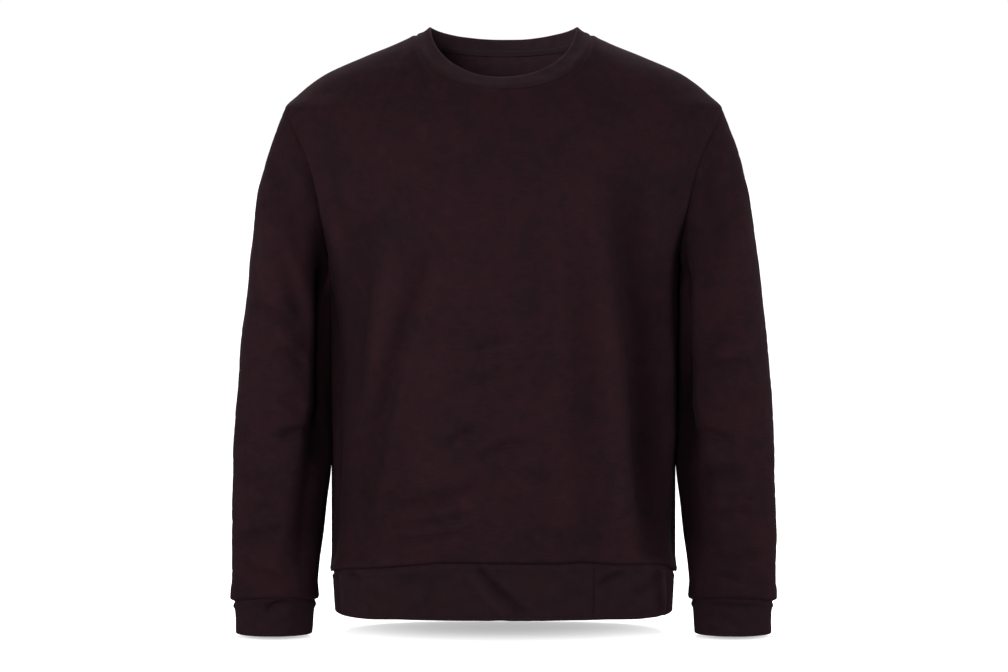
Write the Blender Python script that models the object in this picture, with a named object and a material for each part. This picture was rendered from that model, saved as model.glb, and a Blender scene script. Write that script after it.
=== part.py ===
"""Crewneck sweatshirt, size M, standing open as when worn, with no wearer inside.

Metres, +Z up, the front faces -Y and the wearer's left is +X. The origin is the middle of the line that
joins the two neck points, where the shoulders carry the garment.

Eight cut pieces, each a wall of its own: front, back, two set-in sleeves, neckband, two cuffs and the
hem band. Each panel is a grid of points on the garment's outer surface. Its inner skin
is the same grid moved in by the cloth's thickness, and neighbours share their seam points, so a seam is
one line with a small gap in it.
"""

import math

import bpy
import numpy as np

# ---- cloth ----
FLEECE = 0.0022
RIB = 0.0032
SEAM_GAP = 0.0003

# ---- body ----
HEM_SEAM_Z = -0.645
UNDERARM_Z = -0.272
SHOULDER_TIP_Z = -0.089
NECK_POINT_X = 0.104
FRONT_NECK_DROP = 0.0645
BACK_NECK_DROP = 0.024

# Cross-sections of the body, from the hem seam to the neck points. Above the shoulder tip the half width
# is the shoulder line itself.
# height, half_width, front_depth, back_depth, squareness
BODY_LEVELS = (
    (-0.645, 0.2052, 0.1125, 0.1075, 2.8),
    (-0.638, 0.2086, 0.1160, 0.1110, 2.8),
    (-0.622, 0.2074, 0.1155, 0.1100, 2.7),
    (-0.450, 0.2069, 0.1170, 0.1050, 2.6),
    (-0.300, 0.2066, 0.1210, 0.1080, 2.5),
    (-0.272, 0.2080, 0.1215, 0.1090, 2.5),
    (-0.200, 0.2400, 0.1190, 0.1110, 2.5),
    (-0.130, 0.2590, 0.1060, 0.1050, 2.4),
    (-0.089, 0.2610, 0.0910, 0.0940, 2.3),
    (-0.0722, 0.2455, 0.0810, 0.0860, 2.2),
    (-0.0488, 0.2150, 0.0680, 0.0740, 2.1),
    (-0.0252, 0.1630, 0.0550, 0.0620, 2.0),
    (-0.0132, 0.1330, 0.0480, 0.0550, 2.0),
    (0.000, 0.1040, 0.0400, 0.0470, 2.0),
)
# The hem seam arches up between the sides. The panels' cross-sections follow it below this height.
FRONT_HEM_ARCH = 0.023
BACK_HEM_ARCH = 0.012
ARCH_TOP_Z = -0.480
ARCH_FADE = 0.125

# The armhole seam as it shows from the front: height, distance from the middle
ARMHOLE_LINE = (
    (-0.272, 0.2080),
    (-0.250, 0.2105),
    (-0.200, 0.2180),
    (-0.155, 0.2285),
    (-0.130, 0.2395),
    (-0.108, 0.2510),
    (-0.089, 0.2610),
)

# ---- sleeves ----
# From the level of the underarm down to the cuff seam.
# height, centre_x, half_width, centre_y, half_depth
SLEEVE_LEVELS = (
    (-0.335, 0.2560, 0.0548, 0.002, 0.074),
    (-0.377, 0.2586, 0.0574, 0.001, 0.068),
    (-0.437, 0.2614, 0.0590, -0.002, 0.060),
    (-0.497, 0.2640, 0.0590, -0.006, 0.052),
    (-0.527, 0.2658, 0.0580, -0.008, 0.048),
    (-0.557, 0.2684, 0.0566, -0.010, 0.045),
    (-0.593, 0.2706, 0.0550, -0.012, 0.042),
    (-0.629, 0.2728, 0.0522, -0.014, 0.039),
    (-0.653, 0.2740, 0.0512, -0.015, 0.038),
    (-0.668, 0.2748, 0.0530, -0.016, 0.039),
    (-0.677, 0.2750, 0.0492, -0.016, 0.034),
)
# How the sleeve leaves the armhole: turn round the armhole from the underarm, out along the sleeve,
# bulge away from the armhole's middle, down
SLEEVE_SET = (
    (0.0, 0.02, 0.00, 1.00),
    (90.0, 0.62, 0.36, 0.62),
    (180.0, 0.40, 0.00, 0.86),
)
CAP_REACH = 0.40
BODY_CLEARANCE = 0.0012
CONTACT_SOFTNESS = 0.0010

# ---- rib bands ----
# height, centre_x, half_width, centre_y, half_depth
CUFF_LEVELS = (
    (-0.677, 0.2750, 0.0492, -0.016, 0.034),
    (-0.685, 0.2752, 0.0478, -0.016, 0.032),
    (-0.700, 0.2755, 0.0468, -0.017, 0.030),
    (-0.7165, 0.2760, 0.0462, -0.018, 0.030),
)
# The cuff seam lifts at the front and back of the arm, and dips at its outer side
CUFF_SEAM_LIFT = 0.0075
CUFF_SEAM_DIP = 0.0020
LIFT_REACH = 0.050
# height, half_width, front_depth, back_depth, squareness
HEM_BAND_LEVELS = (
    (-0.645, 0.2052, 0.1125, 0.1075, 2.8),
    (-0.652, 0.2042, 0.1115, 0.1065, 2.8),
    (-0.668, 0.2034, 0.1105, 0.1055, 2.8),
    (-0.6868, 0.2018, 0.1095, 0.1045, 2.8),
)
# The neckband's top edge: its half width, and its height and depth at the sides, front and back
NECK_TOP_HALF_WIDTH = 0.0876
NECK_TOP_SIDE_Z = 0.0105
NECK_TOP_FRONT_Z = -0.0505
NECK_TOP_BACK_Z = -0.0040
NECK_TOP_FRONT_Y = -0.0640
NECK_TOP_BACK_Y = 0.0520
NECKBAND_CROWN = 0.0004
# Powers of the cosine of the turn round the neck: below 1 a line is squarer than an ellipse
NECK_SQUARENESS = 0.94
NECK_TOP_BACK_SQUARENESS = 1.2
NECK_TOP_PLAN_SQUARENESS = 0.85

# ---- folds ----
# Seen from the front or the back: start x and z, end x and z, sideways bow, depth (a trough is
# positive), half width. The wearer's left is +x on both tables.
FRONT_FOLDS = (
    (-0.146, -0.215, -0.190, -0.430, 0.004, 0.0075, 0.017),
    (-0.090, -0.235, -0.172, -0.510, 0.006, 0.0065, 0.015),
    (-0.120, -0.260, -0.184, -0.530, -0.004, -0.0030, 0.014),
    (0.150, -0.175, 0.198, -0.615, -0.006, 0.0095, 0.018),
    (0.118, -0.200, 0.168, -0.600, -0.004, -0.0050, 0.018),
    (0.090, -0.330, 0.104, -0.600, 0.004, 0.0040, 0.022),
    (-0.150, -0.560, -0.020, -0.525, 0.006, 0.0024, 0.012),
    (-0.070, -0.425, 0.030, -0.395, -0.008, 0.0022, 0.012),
)
BACK_FOLDS = (
    (0.130, -0.230, 0.186, -0.520, 0.005, 0.0070, 0.018),
    (0.080, -0.280, 0.130, -0.580, -0.004, 0.0045, 0.018),
    (-0.135, -0.200, -0.190, -0.560, -0.005, 0.0075, 0.018),
    (-0.085, -0.300, -0.120, -0.560, 0.004, 0.0040, 0.020),
    (0.010, -0.350, 0.000, -0.590, 0.006, 0.0040, 0.026),
)
# On a sleeve: start turn and z, end turn and z, bow, depth, half width. The turn goes round the arm in
# degrees from the underarm: 90 is the front, 180 the outer side, 270 the back.
LEFT_SLEEVE_FOLDS = (
    (150, -0.150, 62, -0.300, 0.010, 0.0050, 0.013),
    (125, -0.120, 85, -0.230, 0.008, 0.0030, 0.011),
    (125, -0.330, 40, -0.410, 0.012, 0.0055, 0.013),
    (130, -0.390, 60, -0.398, 0.004, 0.0030, 0.010),
    (100, -0.482, 35, -0.476, 0.006, 0.0045, 0.010),
    (110, -0.520, 40, -0.535, 0.005, 0.0030, 0.011),
    (215, -0.200, 300, -0.330, 0.010, 0.0045, 0.014),
    (230, -0.400, 310, -0.440, 0.008, 0.0040, 0.012),
    (140, -0.620, 70, -0.632, 0.004, 0.0022, 0.009),
    (240, -0.560, 310, -0.575, 0.006, 0.0028, 0.011),
)
RIGHT_SLEEVE_FOLDS = (
    (150, -0.145, 70, -0.270, 0.010, 0.0040, 0.013),
    (110, -0.250, 55, -0.400, 0.010, 0.0060, 0.014),
    (140, -0.320, 70, -0.350, 0.006, 0.0030, 0.010),
    (105, -0.375, 60, -0.392, 0.006, 0.0030, 0.010),
    (95, -0.478, 40, -0.472, 0.005, 0.0045, 0.010),
    (150, -0.525, 90, -0.545, 0.004, 0.0026, 0.010),
    (215, -0.210, 300, -0.330, 0.010, 0.0045, 0.014),
    (235, -0.420, 310, -0.450, 0.008, 0.0040, 0.012),
    (150, -0.610, 80, -0.590, 0.004, 0.0024, 0.010),
    (240, -0.545, 310, -0.570, 0.006, 0.0028, 0.011),
)
SLEEVE_ARC = 0.058

# ---- mesh density ----
FRONT_COLUMNS = 36
BACK_COLUMNS = 24
SIDE_SEAM_ROWS = 12
ARMHOLE_ROWS = 12
SHOULDER_ROWS = 5
CAP_RINGS = 7
SLEEVE_RINGS = 17
HEM_BAND_RINGS = 5
CUFF_RINGS = 4
NECKBAND_RINGS = 4
ROW_SAMPLES = 160

COLOUR_FLEECE = (0.0222, 0.0103, 0.0130, 1.0)
COLOUR_RIB = (0.0240, 0.0125, 0.0150, 1.0)


# ---- small maths ----
def unit(vectors):
    """The vectors made one metre long."""
    lengths = np.linalg.norm(vectors, axis=-1, keepdims=True)
    return vectors / np.maximum(lengths, 1e-12)


def smooth_curve(table, column, at):
    """A table's column read at any value of its first column, along a smooth curve with no overshoot."""
    rows = np.array(table, float)
    x = rows[:, 0]
    y = rows[:, column]
    step = np.diff(x)
    slope = np.diff(y) / step
    turn = slope[:-1] * slope[1:] > 0
    mean = 2 * slope[:-1] * slope[1:] / np.where(turn, slope[:-1] + slope[1:], 1)
    tangent = np.concatenate([[slope[0]], np.where(turn, mean, 0), [slope[-1]]])
    at = np.clip(at, x[0], x[-1])
    i = np.clip(np.searchsorted(x, at) - 1, 0, len(step) - 1)
    t = (at - x[i]) / step[i]
    return (
        y[i] * (1 + 2 * t) * (1 - t) ** 2
        + step[i] * tangent[i] * t * (1 - t) ** 2
        + y[i + 1] * t * t * (3 - 2 * t)
        + step[i] * tangent[i + 1] * t * t * (t - 1)
    )


def falling(table):
    """A table that is listed from the top down, turned to rise in its first column."""
    return tuple(sorted(table))


def even_steps(curve, count):
    """count + 1 points at equal distances along a curve."""
    along = np.concatenate([[0], np.cumsum(np.linalg.norm(np.diff(curve, axis=0), axis=1))])
    at = np.linspace(0, along[-1], count + 1)
    return np.stack([np.interp(at, along, curve[:, k]) for k in range(3)], axis=1)


def grid_normals(grid, closed):
    """Unit normals of a grid of points. closed says that its columns run all round."""
    if closed:
        across = np.roll(grid, -1, axis=1) - np.roll(grid, 1, axis=1)
    else:
        across = np.gradient(grid, axis=1)
    up = np.gradient(grid, axis=0)
    return unit(np.cross(across, up))


# ---- folds ----
def fold_push(u, v, folds):
    """How far the cloth sinks at (u, v) under a table of folds, in metres."""
    push = np.zeros_like(u)
    for u0, v0, u1, v1, bow, depth, half_width in folds:
        run = np.array((u1 - u0, v1 - v0))
        length = np.linalg.norm(run)
        run = run / length
        along = ((u - u0) * run[0] + (v - v0) * run[1]) / length
        aside = (u - u0) * run[1] - (v - v0) * run[0]
        aside = aside - bow * (1 - (2 * along - 1) ** 2)
        taper = np.clip(1 - np.abs(2 * along - 1) ** 3, 0, 1)
        push += depth * taper * np.exp(-((aside / half_width) ** 2))
    return push


# ---- the body's surface ----
def hem_arch(x, side):
    """How far the hem seam stands above its ends, over a distance from the middle."""
    arch = FRONT_HEM_ARCH if side < 0 else BACK_HEM_ARCH
    share = np.clip(np.abs(x) / BODY_LEVELS[0][1], 0, 1)
    return arch * (1 - share**3) ** 0.45


def body_depth(x, z, side):
    """The body's y at a place seen from the front. side is -1 on the front and +1 on the back."""
    level = z - hem_arch(x, side) * np.clip((ARCH_TOP_Z - z) / ARCH_FADE, 0, 1)
    depth = smooth_curve(BODY_LEVELS, 2 if side < 0 else 3, level)
    half_width = smooth_curve(BODY_LEVELS, 1, level)
    squareness = smooth_curve(BODY_LEVELS, 4, level)
    share = np.clip(np.abs(x) / half_width, 0, 1)
    return side * depth * (1 - share**squareness) ** (1 / squareness)


def body_side(y, z):
    """The body's half width at a depth, which a sleeve rests against."""
    depth = np.where(y < 0, smooth_curve(BODY_LEVELS, 2, z), smooth_curve(BODY_LEVELS, 3, z))
    squareness = smooth_curve(BODY_LEVELS, 4, z)
    share = np.clip(np.abs(y) / depth, 0, 1)
    return smooth_curve(BODY_LEVELS, 1, z) * (1 - share**squareness) ** (1 / squareness)


def row_ends():
    """Where each row of a body panel ends on the wearer's left, and the height of its middle.

    The rows climb the side seam, the armhole and the shoulder seam, so the last one is the neckline.
    """
    ends = []
    for k in range(SIDE_SEAM_ROWS):
        z = HEM_SEAM_Z + (UNDERARM_Z - HEM_SEAM_Z) * side_seam_share(k)
        ends.append((float(smooth_curve(BODY_LEVELS, 1, z)), z))
    middle = (SHOULDER_TIP_Z + UNDERARM_Z) / 2
    half_height = (SHOULDER_TIP_Z - UNDERARM_Z) / 2
    for k in range(ARMHOLE_ROWS):
        z = middle - half_height * math.cos(math.pi * k / ARMHOLE_ROWS)
        ends.append((float(smooth_curve(ARMHOLE_LINE, 1, z)), z))
    for k in range(SHOULDER_ROWS + 1):
        z = SHOULDER_TIP_Z * (1 - k / SHOULDER_ROWS)
        ends.append((float(smooth_curve(BODY_LEVELS, 1, z)), z))
    return ends


def side_seam_share(k):
    """The share of the side seam below row k, with the first rows close together where the cloth blouses."""
    share = k / SIDE_SEAM_ROWS
    return share * (0.42 + 0.58 * share) if share < 1 else 1.0


def body_panel(side, columns, neck_drop, folds):
    """A front or back as a grid of rows from the hem seam up to the neckline, wearer's right to left."""
    ends = row_ends()
    last = len(ends) - 1
    shoulder_start = SIDE_SEAM_ROWS + ARMHOLE_ROWS
    hem_middle = HEM_SEAM_Z + hem_arch(0.0, side)
    grid = np.zeros((len(ends), columns + 1, 3))
    s = np.linspace(-1, 1, ROW_SAMPLES + 1)
    quarter = np.sin(math.pi / 2 * s)
    for k, (end_x, end_z) in enumerate(ends):
        middle_z = hem_middle + (-neck_drop - hem_middle) * k / last
        roundness = np.clip((k - shoulder_start) / SHOULDER_ROWS, 0, 1) ** 0.6
        hemness = np.clip(1 - k / (SIDE_SEAM_ROWS / 2), 0, 1)
        x = end_x * ((1 - roundness) * s + roundness * np.sign(quarter) * np.abs(quarter) ** NECK_SQUARENESS)
        arch = hemness * (1 - np.abs(s) ** 3) ** 0.45 + (1 - hemness) * (1 - s**2)
        neckline = np.clip(np.cos(math.pi / 2 * s), 0, 1) ** NECK_SQUARENESS
        share = (1 - roundness) * arch + roundness * neckline
        z = end_z + (middle_z - end_z) * share
        row = np.stack([x, body_depth(x, z, side), z], axis=1)
        grid[k] = even_steps(row, columns)
    outward = grid_normals(grid, False) * -side
    push = fold_push(grid[..., 0], grid[..., 2], folds)
    return grid - outward * (push * edge_fade(grid))[..., None]


def edge_fade(grid):
    """Folds die out over the last two steps before a panel's border, which its neighbours share."""
    rows, columns = grid.shape[:2]
    k = np.minimum(np.arange(rows), np.arange(rows)[::-1])[:, None]
    c = np.minimum(np.arange(columns), np.arange(columns)[::-1])[None, :]
    return np.clip(k / 2, 0, 1) * np.clip(c / 2, 0, 1)


# ---- the sleeves' surface ----
def sleeve_rings(levels, heights, turns):
    """Rings round the arm at the given heights, each from the underarm by the front."""
    table = falling(levels)
    seam_z = SLEEVE_LEVELS[-1][0]
    lift = CUFF_SEAM_LIFT * np.abs(np.sin(turns)) ** 1.3 - CUFF_SEAM_DIP * (1 - np.cos(turns)) / 2
    rings = []
    for height in heights:
        centre_x, half_width, centre_y, half_depth = (
            smooth_curve(table, column, height) for column in (1, 2, 3, 4)
        )
        share = np.clip(1 - abs(height - seam_z) / LIFT_REACH, 0, 1)
        if height < seam_z:
            share = (height - CUFF_LEVELS[-1][0]) / (seam_z - CUFF_LEVELS[-1][0])
        x = centre_x - half_width * np.cos(turns)
        y = centre_y - half_depth * np.sin(turns)
        rings.append(np.stack([x, y, height + lift * share], axis=1))
    return rings


def clear_of_body(points):
    """Points of the sleeve, moved out where they would press into the body's side."""
    limit = body_side(points[..., 1], points[..., 2]) + BODY_CLEARANCE
    over = (points[..., 0] - limit) / CONTACT_SOFTNESS
    moved = points.copy()
    moved[..., 0] = limit + CONTACT_SOFTNESS * np.logaddexp(0, over)
    return moved


def armhole_ring(front, back):
    """The armhole seam on the wearer's left: up the front's edge from the underarm, down the back's."""
    first = SIDE_SEAM_ROWS
    last = SIDE_SEAM_ROWS + ARMHOLE_ROWS
    up = front[first:last, -1]
    down = back[first + 1 : last + 1, -1][::-1]
    return np.concatenate([up, down])


def sleeve_panel(front, back, folds):
    """The wearer's left sleeve, from the cuff seam up to the armhole seam."""
    seam = armhole_ring(front, back)
    count = len(seam)
    turns = np.arange(count) * 2 * math.pi / count
    top_z = SLEEVE_LEVELS[0][0]
    bottom_z = SLEEVE_LEVELS[-1][0]
    share = np.linspace(0, 1, SLEEVE_RINGS + 1)
    heights = top_z + (bottom_z - top_z) * (share * (1.22 - 0.22 * share))
    lower = sleeve_rings(SLEEVE_LEVELS, heights, turns)
    middle = seam.mean(axis=0)
    away, out = armhole_frame(seam)
    folded = np.degrees(np.minimum(turns, 2 * math.pi - turns))
    lean, bulge, down = (smooth_curve(SLEEVE_SET, c, folded)[:, None] for c in (1, 2, 3))
    start = unit(out * lean + away * bulge + np.array((0, 0, -1.0)) * down)
    span = np.linalg.norm(lower[0] - seam, axis=1, keepdims=True)
    below = unit(lower[1] - lower[0])
    rings = []
    for k in range(CAP_RINGS):
        t = k / CAP_RINGS
        rings.append(
            seam * (1 - t) ** 3
            + (seam + start * span * CAP_REACH) * 3 * t * (1 - t) ** 2
            + (lower[0] - below * span * CAP_REACH) * 3 * t * t * (1 - t)
            + lower[0] * t**3
        )
    grid = np.array(rings + lower)[::-1]
    under = grid[..., 2] < UNDERARM_Z
    grid = np.where(under[..., None], clear_of_body(grid), grid)
    grid[-1] = seam
    outward = grid_normals(grid, True)
    turn = np.broadcast_to(turns, grid.shape[:2])
    push = fold_push(turn * SLEEVE_ARC, grid[..., 2], sleeve_fold_lengths(folds))
    rows = len(grid)
    fade = np.clip(np.minimum(np.arange(rows) - 1, np.arange(rows)[::-1]) / 2, 0, 1)[:, None]
    free_side = np.clip((1 - np.cos(turns)) * 1.4, 0, 1)[None, :]
    return grid - outward * (push * fade * free_side)[..., None]


def sleeve_fold_lengths(folds):
    """A sleeve's fold table with its turns as lengths round the arm."""
    return tuple(
        (math.radians(a) * SLEEVE_ARC, z0, math.radians(b) * SLEEVE_ARC, z1, bow, depth, half)
        for a, z0, b, z1, bow, depth, half in folds
    )


def armhole_frame(seam):
    """At each armhole point: the direction away from the armhole's middle, and out along the sleeve."""
    along = unit(np.roll(seam, -1, axis=0) - np.roll(seam, 1, axis=0))
    away = seam - seam.mean(axis=0)
    away = unit(away - along * (away * along).sum(axis=1, keepdims=True))
    return away, unit(np.cross(along, away))


# ---- the bands ----
def ring_of(front_row, back_row):
    """A closed ring from a front row and a back row that share their ends."""
    return np.concatenate([front_row[:-1], back_row[::-1][:-1]])


def hem_band_panel(front, back):
    """The hem band, from its bottom edge up to the hem seam."""
    seam = ring_of(front[0], back[0])
    table = falling(HEM_BAND_LEVELS)
    top_z = HEM_BAND_LEVELS[0][0]
    bottom_z = HEM_BAND_LEVELS[-1][0]
    rings = []
    for k in range(HEM_BAND_RINGS):
        share = k / HEM_BAND_RINGS
        level = bottom_z + (top_z - bottom_z) * share
        width, front_depth, back_depth = (
            smooth_curve(table, column, level) / smooth_curve(table, column, top_z) for column in (1, 2, 3)
        )
        ring = seam.copy()
        ring[:, 0] *= width
        ring[:, 1] *= np.where(seam[:, 1] < 0, front_depth, back_depth)
        ring[:, 2] = bottom_z + (seam[:, 2] - bottom_z) * share
        rings.append(ring)
    return np.array(rings + [seam])


def neck_top_ring(seam):
    """The neckband's top edge, opposite each point of the neck seam."""
    turn = np.arctan2(seam[:, 0] / NECK_POINT_X, -seam[:, 1] / np.abs(seam[:, 1]).max())
    front = np.cos(turn) > 0
    facing = np.abs(np.cos(turn))
    drop = facing ** np.where(front, NECK_SQUARENESS, NECK_TOP_BACK_SQUARENESS)
    top_z = np.where(front, NECK_TOP_FRONT_Z, NECK_TOP_BACK_Z)
    top_y = np.where(front, NECK_TOP_FRONT_Y, NECK_TOP_BACK_Y)
    x = NECK_TOP_HALF_WIDTH * np.sign(np.sin(turn)) * np.abs(np.sin(turn)) ** NECK_SQUARENESS
    y = top_y * facing**NECK_TOP_PLAN_SQUARENESS
    z = NECK_TOP_SIDE_Z + (top_z - NECK_TOP_SIDE_Z) * drop
    return np.stack([x, y, z], axis=1)


def neckband_panel(front, back):
    """The neckband, from the neck seam up to its folded top edge, a little crowned."""
    seam = ring_of(front[-1], back[-1])
    top = neck_top_ring(seam)
    flat = np.array([seam + (top - seam) * k / NECKBAND_RINGS for k in range(NECKBAND_RINGS + 1)])
    outward = grid_normals(flat, True)
    crown = np.sin(np.linspace(0, math.pi, NECKBAND_RINGS + 1)) * NECKBAND_CROWN
    return flat + outward * crown[:, None, None]


# ---- walls ----
def keep_apart(points, seam, towards):
    """Moves points back behind the parting plane of their seam, half the seam gap away from it."""
    over = ((points - seam) * towards).sum(axis=-1, keepdims=True) + SEAM_GAP / 2
    return points - towards * np.maximum(over, 0)


def wall(name, outer, inner, closed, material):
    """A closed wall between an outer grid of points and an inner one, as an object of its own.

    Both skins are split along the same diagonals, so the wall keeps its thickness where a grid twists.
    """
    rows, columns = outer.shape[:2]
    steps = columns if closed else columns - 1
    points = np.concatenate([outer.reshape(-1, 3), inner.reshape(-1, 3)])
    inside = rows * columns
    faces = []

    def at(k, c):
        return k * columns + c % columns

    for k in range(rows - 1):
        for c in range(steps):
            a, b, d, e = at(k, c), at(k, c + 1), at(k + 1, c + 1), at(k + 1, c)
            rising = np.linalg.norm(points[d] - points[a]) <= np.linalg.norm(points[e] - points[b])
            for triangle in ((a, b, d), (a, d, e)) if rising else ((a, b, e), (b, d, e)):
                faces.append(triangle)
                faces.append(tuple(inside + i for i in reversed(triangle)))
    rim = [(at(0, c + 1), at(0, c)) for c in range(steps)]
    rim += [(at(rows - 1, c), at(rows - 1, c + 1)) for c in range(steps)]
    if not closed:
        rim += [(at(k, 0), at(k + 1, 0)) for k in range(rows - 1)]
        rim += [(at(k + 1, columns - 1), at(k, columns - 1)) for k in range(rows - 1)]
    faces += [(a, b, inside + b, inside + a) for a, b in rim]
    mesh = bpy.data.meshes.new(name)
    mesh.from_pydata([tuple(p) for p in points], [], faces)
    mesh.update()
    mesh.shade_smooth()
    mesh.set_sharp_from_angle(angle=math.radians(50))
    mesh.materials.append(material)
    obj = bpy.data.objects.new(name, mesh)
    bpy.context.collection.objects.link(obj)
    return obj


def cloth(name, colour, roughness):
    """A plain cloth material."""
    material = bpy.data.materials.new(name)
    material.use_nodes = True
    shader = material.node_tree.nodes["Principled BSDF"]
    shader.inputs["Base Color"].default_value = colour
    shader.inputs["Roughness"].default_value = roughness
    shader.inputs["Metallic"].default_value = 0.0
    return material


def panel_skins(grid, side, armhole_out, top_towards):
    """A body panel's outer and inner skins, held apart from its neighbours along all four borders."""
    outward = grid_normals(grid, False) * -side
    inner = grid - outward * FLEECE
    outer = grid.copy()
    rows = len(grid)
    armhole_first = SIDE_SEAM_ROWS
    armhole_last = SIDE_SEAM_ROWS + ARMHOLE_ROWS
    across_sides = np.array((0.0, -side, 0.0))
    for skin in (outer, inner):
        for column in (0, -1):
            mirror = np.array((1 if column else -1, 1, 1))
            left_edge = grid[:, column] * mirror
            edge = skin[:, column] * mirror
            for part in (slice(0, armhole_first + 1), slice(armhole_last, rows)):
                edge[part] = keep_apart(edge[part], left_edge[part], across_sides)
            part = slice(armhole_first, armhole_last + 1)
            edge[part] = keep_apart(edge[part], left_edge[part], armhole_out)
            skin[:, column] = edge * mirror
        skin[0] = keep_apart(skin[0], grid[0], np.array((0.0, 0.0, -1.0)))
        skin[-1] = keep_apart(skin[-1], grid[-1], top_towards)
    return outer, inner


def armhole_parting(front_edge):
    """Out along the sleeve at each point of the armhole's front half. Its back half takes the same."""
    full = np.concatenate([front_edge, (front_edge * np.array((1, -1, 1)))[::-1][1:-1]])
    _, out = armhole_frame(full)
    return unit(out[: len(front_edge)] * np.array((1, 0, 1)))


def tube_skins(grid, thickness, ends):
    """A tube's outer and inner skins. ends gives, for its first and last ring, the way to its neighbour."""
    inner = grid - grid_normals(grid, True) * thickness
    outer = grid.copy()
    for ring, towards in zip((0, -1), ends):
        if towards is not None:
            outer[ring] = keep_apart(outer[ring], grid[ring], towards)
            inner[ring] = keep_apart(inner[ring], grid[ring], towards)
    return outer, inner


def neck_parting(seam_ring, top_ring):
    """Up along the neckband at each point of the neck seam."""
    along = unit(np.roll(seam_ring, -1, axis=0) - np.roll(seam_ring, 1, axis=0))
    up = top_ring - seam_ring
    return unit(up - along * (up * along).sum(axis=1, keepdims=True))


def mirrored(grid):
    """The same grid on the wearer's other side, with its columns reversed so that it still faces out."""
    return np.roll(grid[:, ::-1], 1, axis=1) * np.array((-1, 1, 1))


def clear_scene():
    for obj in list(bpy.data.objects):
        bpy.data.objects.remove(obj)


def build():
    clear_scene()
    fleece = cloth("fleece", COLOUR_FLEECE, 0.92)
    rib = cloth("rib", COLOUR_RIB, 0.9)

    front = body_panel(-1, FRONT_COLUMNS, FRONT_NECK_DROP, FRONT_FOLDS)
    back = body_panel(1, BACK_COLUMNS, BACK_NECK_DROP, BACK_FOLDS)
    neckband = neckband_panel(front, back)
    up = neck_parting(neckband[0], neckband[-1])
    front_up = np.concatenate([up[:FRONT_COLUMNS], up[FRONT_COLUMNS : FRONT_COLUMNS + 1]])
    back_up = np.concatenate([up[FRONT_COLUMNS:], up[:1]])[::-1]

    armhole_out = armhole_parting(front[SIDE_SEAM_ROWS : SIDE_SEAM_ROWS + ARMHOLE_ROWS + 1, -1])
    wall("front", *panel_skins(front, -1, armhole_out, front_up), False, fleece)
    back_outer, back_inner = panel_skins(back, 1, armhole_out, back_up)
    wall("back", back_outer[:, ::-1], back_inner[:, ::-1], False, fleece)
    wall("neckband", *tube_skins(neckband, RIB, (-up, None)), True, rib)

    seam_up = np.array((0.0, 0.0, 1.0))
    hem_band = hem_band_panel(front, back)
    wall("hem_band", *tube_skins(hem_band, RIB, (None, seam_up)), True, rib)

    for label, folds, flip in (("left", LEFT_SLEEVE_FOLDS, False), ("right", RIGHT_SLEEVE_FOLDS, True)):
        sleeve = sleeve_panel(front, back, folds)
        count = sleeve.shape[1]
        cuff_z = np.linspace(CUFF_LEVELS[-1][0], CUFF_LEVELS[0][0], CUFF_RINGS + 1)
        turns = np.arange(count) * 2 * math.pi / count
        cuff = np.array(sleeve_rings(CUFF_LEVELS, cuff_z, turns))
        into_body = -np.concatenate([armhole_out, armhole_out[1:-1][::-1]])
        sleeve_outer, sleeve_inner = tube_skins(sleeve, FLEECE, (-seam_up, into_body))
        cuff_outer, cuff_inner = tube_skins(cuff, RIB, (None, seam_up))
        if flip:
            sleeve_outer, sleeve_inner, cuff_outer, cuff_inner = (
                mirrored(g) for g in (sleeve_outer, sleeve_inner, cuff_outer, cuff_inner)
            )
        wall(f"sleeve_{label}", sleeve_outer, sleeve_inner, True, fleece)
        wall(f"cuff_{label}", cuff_outer, cuff_inner, True, rib)


build()
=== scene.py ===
"""Crewneck sweatshirt, size M, open as when worn: its cloth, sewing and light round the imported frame.

Metres, +Z up, the front faces -Y and the wearer's left is +X. Each cut piece is a thin shell on the form of
its solid, with the seams turned in and its creases pressed into its outer face.
"""

import math

import bpy
import numpy as np

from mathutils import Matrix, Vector, noise


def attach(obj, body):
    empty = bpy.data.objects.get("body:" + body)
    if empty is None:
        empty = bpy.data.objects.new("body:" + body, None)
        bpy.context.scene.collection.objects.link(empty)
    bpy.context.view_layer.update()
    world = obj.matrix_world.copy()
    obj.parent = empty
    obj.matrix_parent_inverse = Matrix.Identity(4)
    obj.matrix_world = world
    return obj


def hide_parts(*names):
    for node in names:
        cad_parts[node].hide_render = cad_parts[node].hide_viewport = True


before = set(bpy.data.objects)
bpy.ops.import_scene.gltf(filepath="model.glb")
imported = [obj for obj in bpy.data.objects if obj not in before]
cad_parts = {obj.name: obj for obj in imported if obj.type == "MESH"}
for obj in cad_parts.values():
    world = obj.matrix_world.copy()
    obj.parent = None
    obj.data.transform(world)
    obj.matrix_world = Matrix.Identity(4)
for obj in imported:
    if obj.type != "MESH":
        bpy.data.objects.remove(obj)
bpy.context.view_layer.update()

UP = np.array((0.0, 0.0, 1.0))
TURN = 2 * math.pi

# ---- cloth ----
FLEECE = 0.0022
RIB = 0.0032
SEAM_GAP = 0.0001

# ---- body ----
HEM_SEAM_Z = -0.645
UNDERARM_Z = -0.272
SHOULDER_TIP_Z = -0.089
NECK_POINT_X = 0.104
FRONT_NECK_DROP = 0.0645
BACK_NECK_DROP = 0.024
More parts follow.
